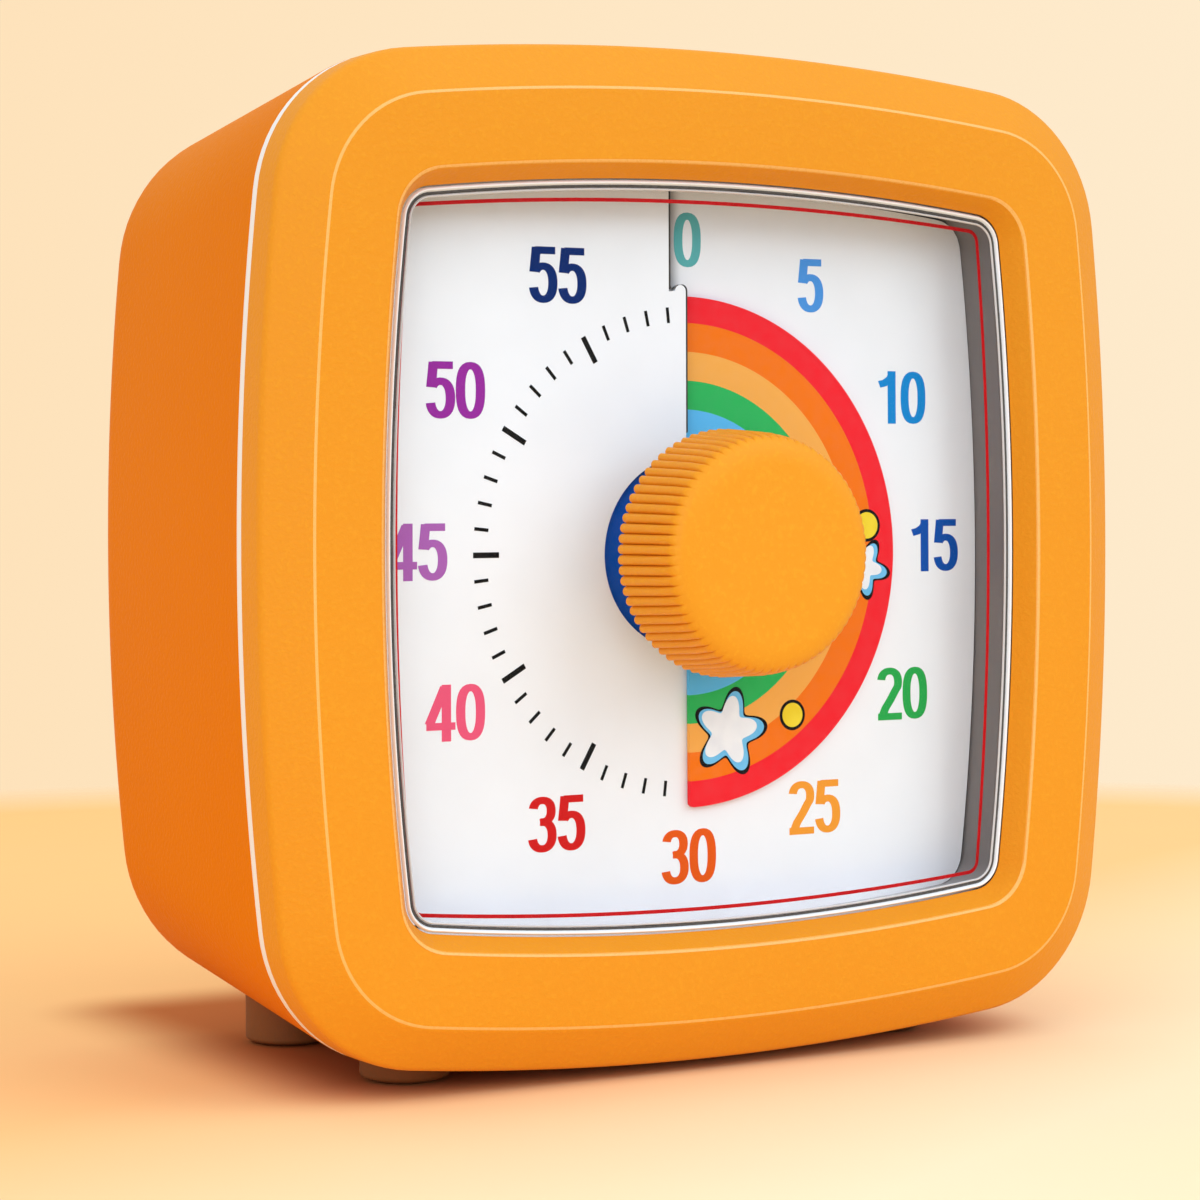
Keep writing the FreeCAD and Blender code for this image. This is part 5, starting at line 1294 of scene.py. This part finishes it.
@dataclass
class Knob:
    """Turning knob: a flat grained face, a soft shoulder and moulded grip ribs."""

    radius: float = 9.6
    front: float = -6.2
    back: float = 1.1
    ribs: int = 72
    rib_depth: float = 0.5
    draft: float = 0.5
    shoulder: float = 2.4
    shoulder_softness: float = 2.3
    shoulder_width: float = 2.6
    rib_start: float = 0.12
    rib_fade: float = 1.7
    boss: float = 3.1
    boss_back: float = 4.3
    bore_end: float = -3.9
    rib_samples: int = 12

    def profile(self) -> np.ndarray:
        """Rows of (radius, depth) from the middle of the face to the boss's bore."""
        side = np.linspace(self.front + self.shoulder, self.back - 0.3, 14)
        head = bezier_corners(np.array([
            (0.001, self.front), (self.radius - 0.25, self.front), (self.radius, side[0])]),
            (0, self.shoulder_softness, 0), 20, closed=False)
        wall = np.stack([np.full(len(side), self.radius), side], axis=1)
        tail = np.array([(self.radius, self.back), (self.boss, self.back),
                         (self.boss, self.boss_back), (BORE, self.boss_back),
                         (BORE, self.bore_end), (0.001, self.bore_end)])
        rows = np.concatenate([head, wall, tail])
        outer = rows[:, 0] > self.radius - self.shoulder_width
        share = (rows[:, 1] - self.front) / (self.back - self.front)
        rows[:, 0] += outer * self.draft * (share - 0.5)
        return rows

    def build(self) -> None:
        """Turn the profile and press the grooves between the ribs into its side.

        Across a rib the radius drops by depth * (1 - (1 - u^2)^0.5), where u
        runs from -1 to 1 from groove to groove, and the drop fades in behind
        the shoulder.
        """
        rows = self.profile()
        samples = self.rib_samples * self.ribs
        grid = revolve(rows, 0.0, 0.0, samples)
        u = 2 * ((np.arange(samples) / self.rib_samples) % 1.0) - 1
        groove = 1 - np.sqrt(np.maximum(1 - u ** 2, 0))
        fade = np.clip((rows[:, 1] - (self.front + self.rib_start)) / self.rib_fade, 0, 1)
        fade = fade ** 2 * (3 - 2 * fade) * (rows[:, 0] > self.radius - 2.2)
        drop = self.rib_depth * fade[:, None] * groove[None, :]
        scale = (rows[:, 0:1] - drop) / np.maximum(rows[:, 0:1], 1e-6)
        grid[..., 0] *= scale
        grid[..., 2] = grid[..., 2] * scale + AXIS_HEIGHT
        surface = Surface().grid(grid, False, True)
        make_piece("grip_knob", surface, KNOB_ABS, Body.DRIVE, ("knob",), 50.0)


# ---------------------------------------------------------------- kept CAD nodes


@dataclass
class CarriedNodes:
    """CAD nodes that keep their shape and get a finish and soft edges."""

    edge_mm: float = 0.18

    def table(self) -> dict[str, Finish]:
        """Finish of each node that is shown as it is."""
        names = {
            REAR_ABS_PAINTED_SHADE: "battery_door",
            CHASSIS_ABS: "chassis movement_case movement_lid",
            ACETAL: "spindle_wheel idler_wheel idler_pinion alarm_cam",
            BRASS: "spindle_bush motor_pinion",
            STEEL: "spindle idler_arbor motor_shaft case_screws bezel_screws movement_screws "
                   "lid_screws board_screws quartz_crystal",
            SPRING: "spindle_clip contact_leaf battery_plate_contact battery_spring_plate "
                    "battery_spring",
            MOTOR_CAN: "geared_motor",
            CELL: "battery_cell",
            BOARD: "circuit_board",
            BLACK_RESIN: "sound_slider controller_chip capacitor sounder sound_switch",
        }
        return {name: finish for finish, group in names.items() for name in group.split()}

    def build(self) -> None:
        """Dress each node; the outer ones get a narrow bevel that catches the light."""
        for name, finish in self.table().items():
            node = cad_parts[name]
            node.data.materials.clear()
            node.data.materials.append(finish.material())
            if name in ("battery_door", "sound_slider"):
                weld = node.modifiers.new("weld", "WELD")
                weld.merge_threshold = 1e-6
                bevel = node.modifiers.new("soft_edges", "BEVEL")
                bevel.width = self.edge_mm * MM
                bevel.segments = 2
                bevel.limit_method = "ANGLE"
                bevel.angle_limit = math.radians(40)
            LOG.info("%s: %s", name, finish.name)


# ---------------------------------------------------------------- studio


@dataclass
class Studio:
    """Camera, lamps, world and the pale floor."""

    azimuth: float = -0.54447
    elevation: float = 0.031197
    roll: float = -0.004012
    distance: float = 256.72
    lens: float = 97.644
    across: float = -10.389
    up: float = -3.338
    floor_reach: float = 0.27
    dome_low: float = 0.66
    dome_high: float = 1.72
    dome_colour: str = "#E0EFFF"
    lamp_colour: str = "#E4F2FF"
    shade_centre: tuple[float, float, float] = (0.001, 0.016, 0.0)
    shade_half: tuple[float, float, float] = (0.026, 0.020, 0.0)
    shade_reach: float = 0.013

    def axes(self) -> tuple[np.ndarray, np.ndarray, np.ndarray]:
        """Right, up and back of the camera before its roll."""
        a, e = self.azimuth, self.elevation
        back = np.array([math.sin(a) * math.cos(e), -math.cos(a) * math.cos(e), math.sin(e)])
        right = np.array([math.cos(a), math.sin(a), 0.0])
        return right, np.cross(back, right), back

    def build_camera(self) -> None:
        """Place the camera by the fitted angles and distance."""
        right, up, back = self.axes()
        place = to_frame(right * self.across + up * self.up + back * self.distance)
        c, s = math.cos(self.roll), math.sin(self.roll)
        x_axis, y_axis = right * c + up * s, up * c - right * s
        camera = bpy.data.objects.new("camera", bpy.data.cameras.new("camera"))
        camera.data.lens = self.lens
        camera.data.sensor_width = 36.0
        camera.data.clip_start, camera.data.clip_end = 0.01, 20.0
        bpy.context.scene.collection.objects.link(camera)
        camera.matrix_world = Matrix([(*(float(axis[i]) for axis in (x_axis, y_axis, back)),
                                       float(place[i])) for i in range(3)] + [(0, 0, 0, 1)])
        bpy.context.scene.camera = camera

    def lamp(self, name: str, place: tuple[float, float, float], size: float,
             power: float) -> None:
        """Add a square soft lamp that faces the object's middle."""
        light = bpy.data.lights.new(name, "AREA")
        light.size, light.energy = size, power
        light.color = linear(self.lamp_colour)[:3]
        lamp = bpy.data.objects.new(name, light)
        bpy.context.scene.collection.objects.link(lamp)
        lamp.location = place
        aim = Vector((0.0, 0.0, 0.04)) - Vector(place)
        lamp.rotation_mode = "QUATERNION"
        lamp.rotation_quaternion = aim.to_track_quat("-Z", "Y")

    def floor_material(self) -> bpy.types.Material:
        """Painted board: a ramp of tones, a contact shade and a rim that fades out."""
        material = bpy.data.materials.new("painted_floor")
        material.use_nodes = True
        graph = Graph(material.node_tree)
        place = graph.place()
        along = graph.vector("DOT_PRODUCT", place, (-0.5, 1.0, 0.0))
        base = graph.ramp(graph.spread(along, 0.0, 1.0, -0.16, 0.20), [
            (0.0, "#F6D2A0"), (0.3, "#F9DDB2"), (0.5, "#FBBF7C"), (1.0, "#FBBB74")])
        grain = graph.add("TexNoise", {"Scale": 60.0, "Detail": 4.0}, {"Vector": place})
        mottle = graph.blend(0.03, base, grain.outputs["Color"], "MULTIPLY")
        away = graph.vector("ABSOLUTE", graph.vector("SUBTRACT", place, self.shade_centre))
        past = graph.vector("MAXIMUM", graph.vector("SUBTRACT", away, self.shade_half),
                            (0.0, 0.0, 0.0))
        dim = graph.spread(graph.vector("LENGTH", past), 0.8, 0.0, 0.0, self.shade_reach,
                           "SMOOTHSTEP")
        fade = graph.spread(graph.vector("LENGTH", place), 1.0, 0.0, self.floor_reach - 0.05,
                            self.floor_reach - 0.01)
        shader = graph.add("BsdfPrincipled", {"Roughness": 0.5, "Specular IOR Level": 0.0})
        graph.link(shader, Base_Color=graph.blend(dim, mottle, "#A85C24", "MULTIPLY"), Alpha=fade)
        graph.add("OutputMaterial", links={"Surface": shader.outputs[0]})
        return material

    def build_floor(self) -> None:
        """Pale round floor just under the feet."""
        angle = np.linspace(0, FULL_TURN, 96, endpoint=False)[None, :]
        radius = np.array([0.0005, 0.08, 0.16, 0.24, self.floor_reach])[:, None] / MM
        grid = np.stack([radius * np.cos(angle), radius * np.sin(angle) - CASE_CENTRE[1],
                         np.full((5, 96), -CASE_CENTRE[2] - 0.02)], axis=2)
        mesh = Surface().grid(grid, False, True).mesh("studio_floor")
        mesh.materials.append(self.floor_material())
        floor = bpy.data.objects.new("studio_floor", mesh)
        bpy.context.scene.collection.objects.link(floor)

    def build_world(self) -> None:
        """Seen, mirrored or through glass the world is a pale wall; as light it is a dome."""
        world = bpy.data.worlds.new("studio_world")
        bpy.context.scene.world = world
        world.use_nodes = True
        graph = Graph(world.node_tree)
        direction = graph.add("TexCoord").outputs["Generated"]
        side = graph.vector("DOT_PRODUCT", direction, tuple(self.axes()[0].tolist()))
        wall = graph.blend(graph.spread(side, 0.0, 1.0, -0.2, 0.2), "#FEE2BA", "#FEEBCD")
        rays = graph.add("LightPath").outputs
        mirrored = graph.sum_up("MAXIMUM", rays["Is Glossy Ray"], rays["Is Transmission Ray"])
        direct = graph.sum_up("MAXIMUM", rays["Is Camera Ray"], mirrored)
        height = graph.add("SeparateXYZ", links={0: direction}).outputs["Z"]
        level = graph.spread(height, self.dome_low, self.dome_high)
        dome = graph.add("Background", {"Color": linear(self.dome_colour)}, {"Strength": level})
        shown = graph.add("Background", {"Strength": 1.0}, {"Color": wall})
        mixed = graph.add("MixShader", links={0: direct, 1: dome.outputs[0], 2: shown.outputs[0]})
        graph.add("OutputWorld", links={"Surface": mixed.outputs[0]})

    def build(self) -> None:
        """Set the stage."""
        self.build_camera()
        self.lamp("key_lamp", (0.50, -0.72, 0.62), 0.9, 3.5)
        self.lamp("front_fill", (-0.60, -0.74, 0.30), 0.8, 3.4)
        self.build_floor()
        self.build_world()
        bpy.context.scene.view_settings.view_transform = "Standard"


def main() -> None:
    """Build every sub-assembly in order."""
    logging.basicConfig(level=logging.INFO, format="%(name)s %(message)s")
    for assembly in (CaseFront(), SeamTrim(), RearShell(), Feet(), Window(), Dial(), ColourDisc(),
                     Knob(), CarriedNodes(), Studio()):
        LOG.info("building %s", type(assembly).__name__)
        assembly.build()


if __name__ == "__main__":
    main()
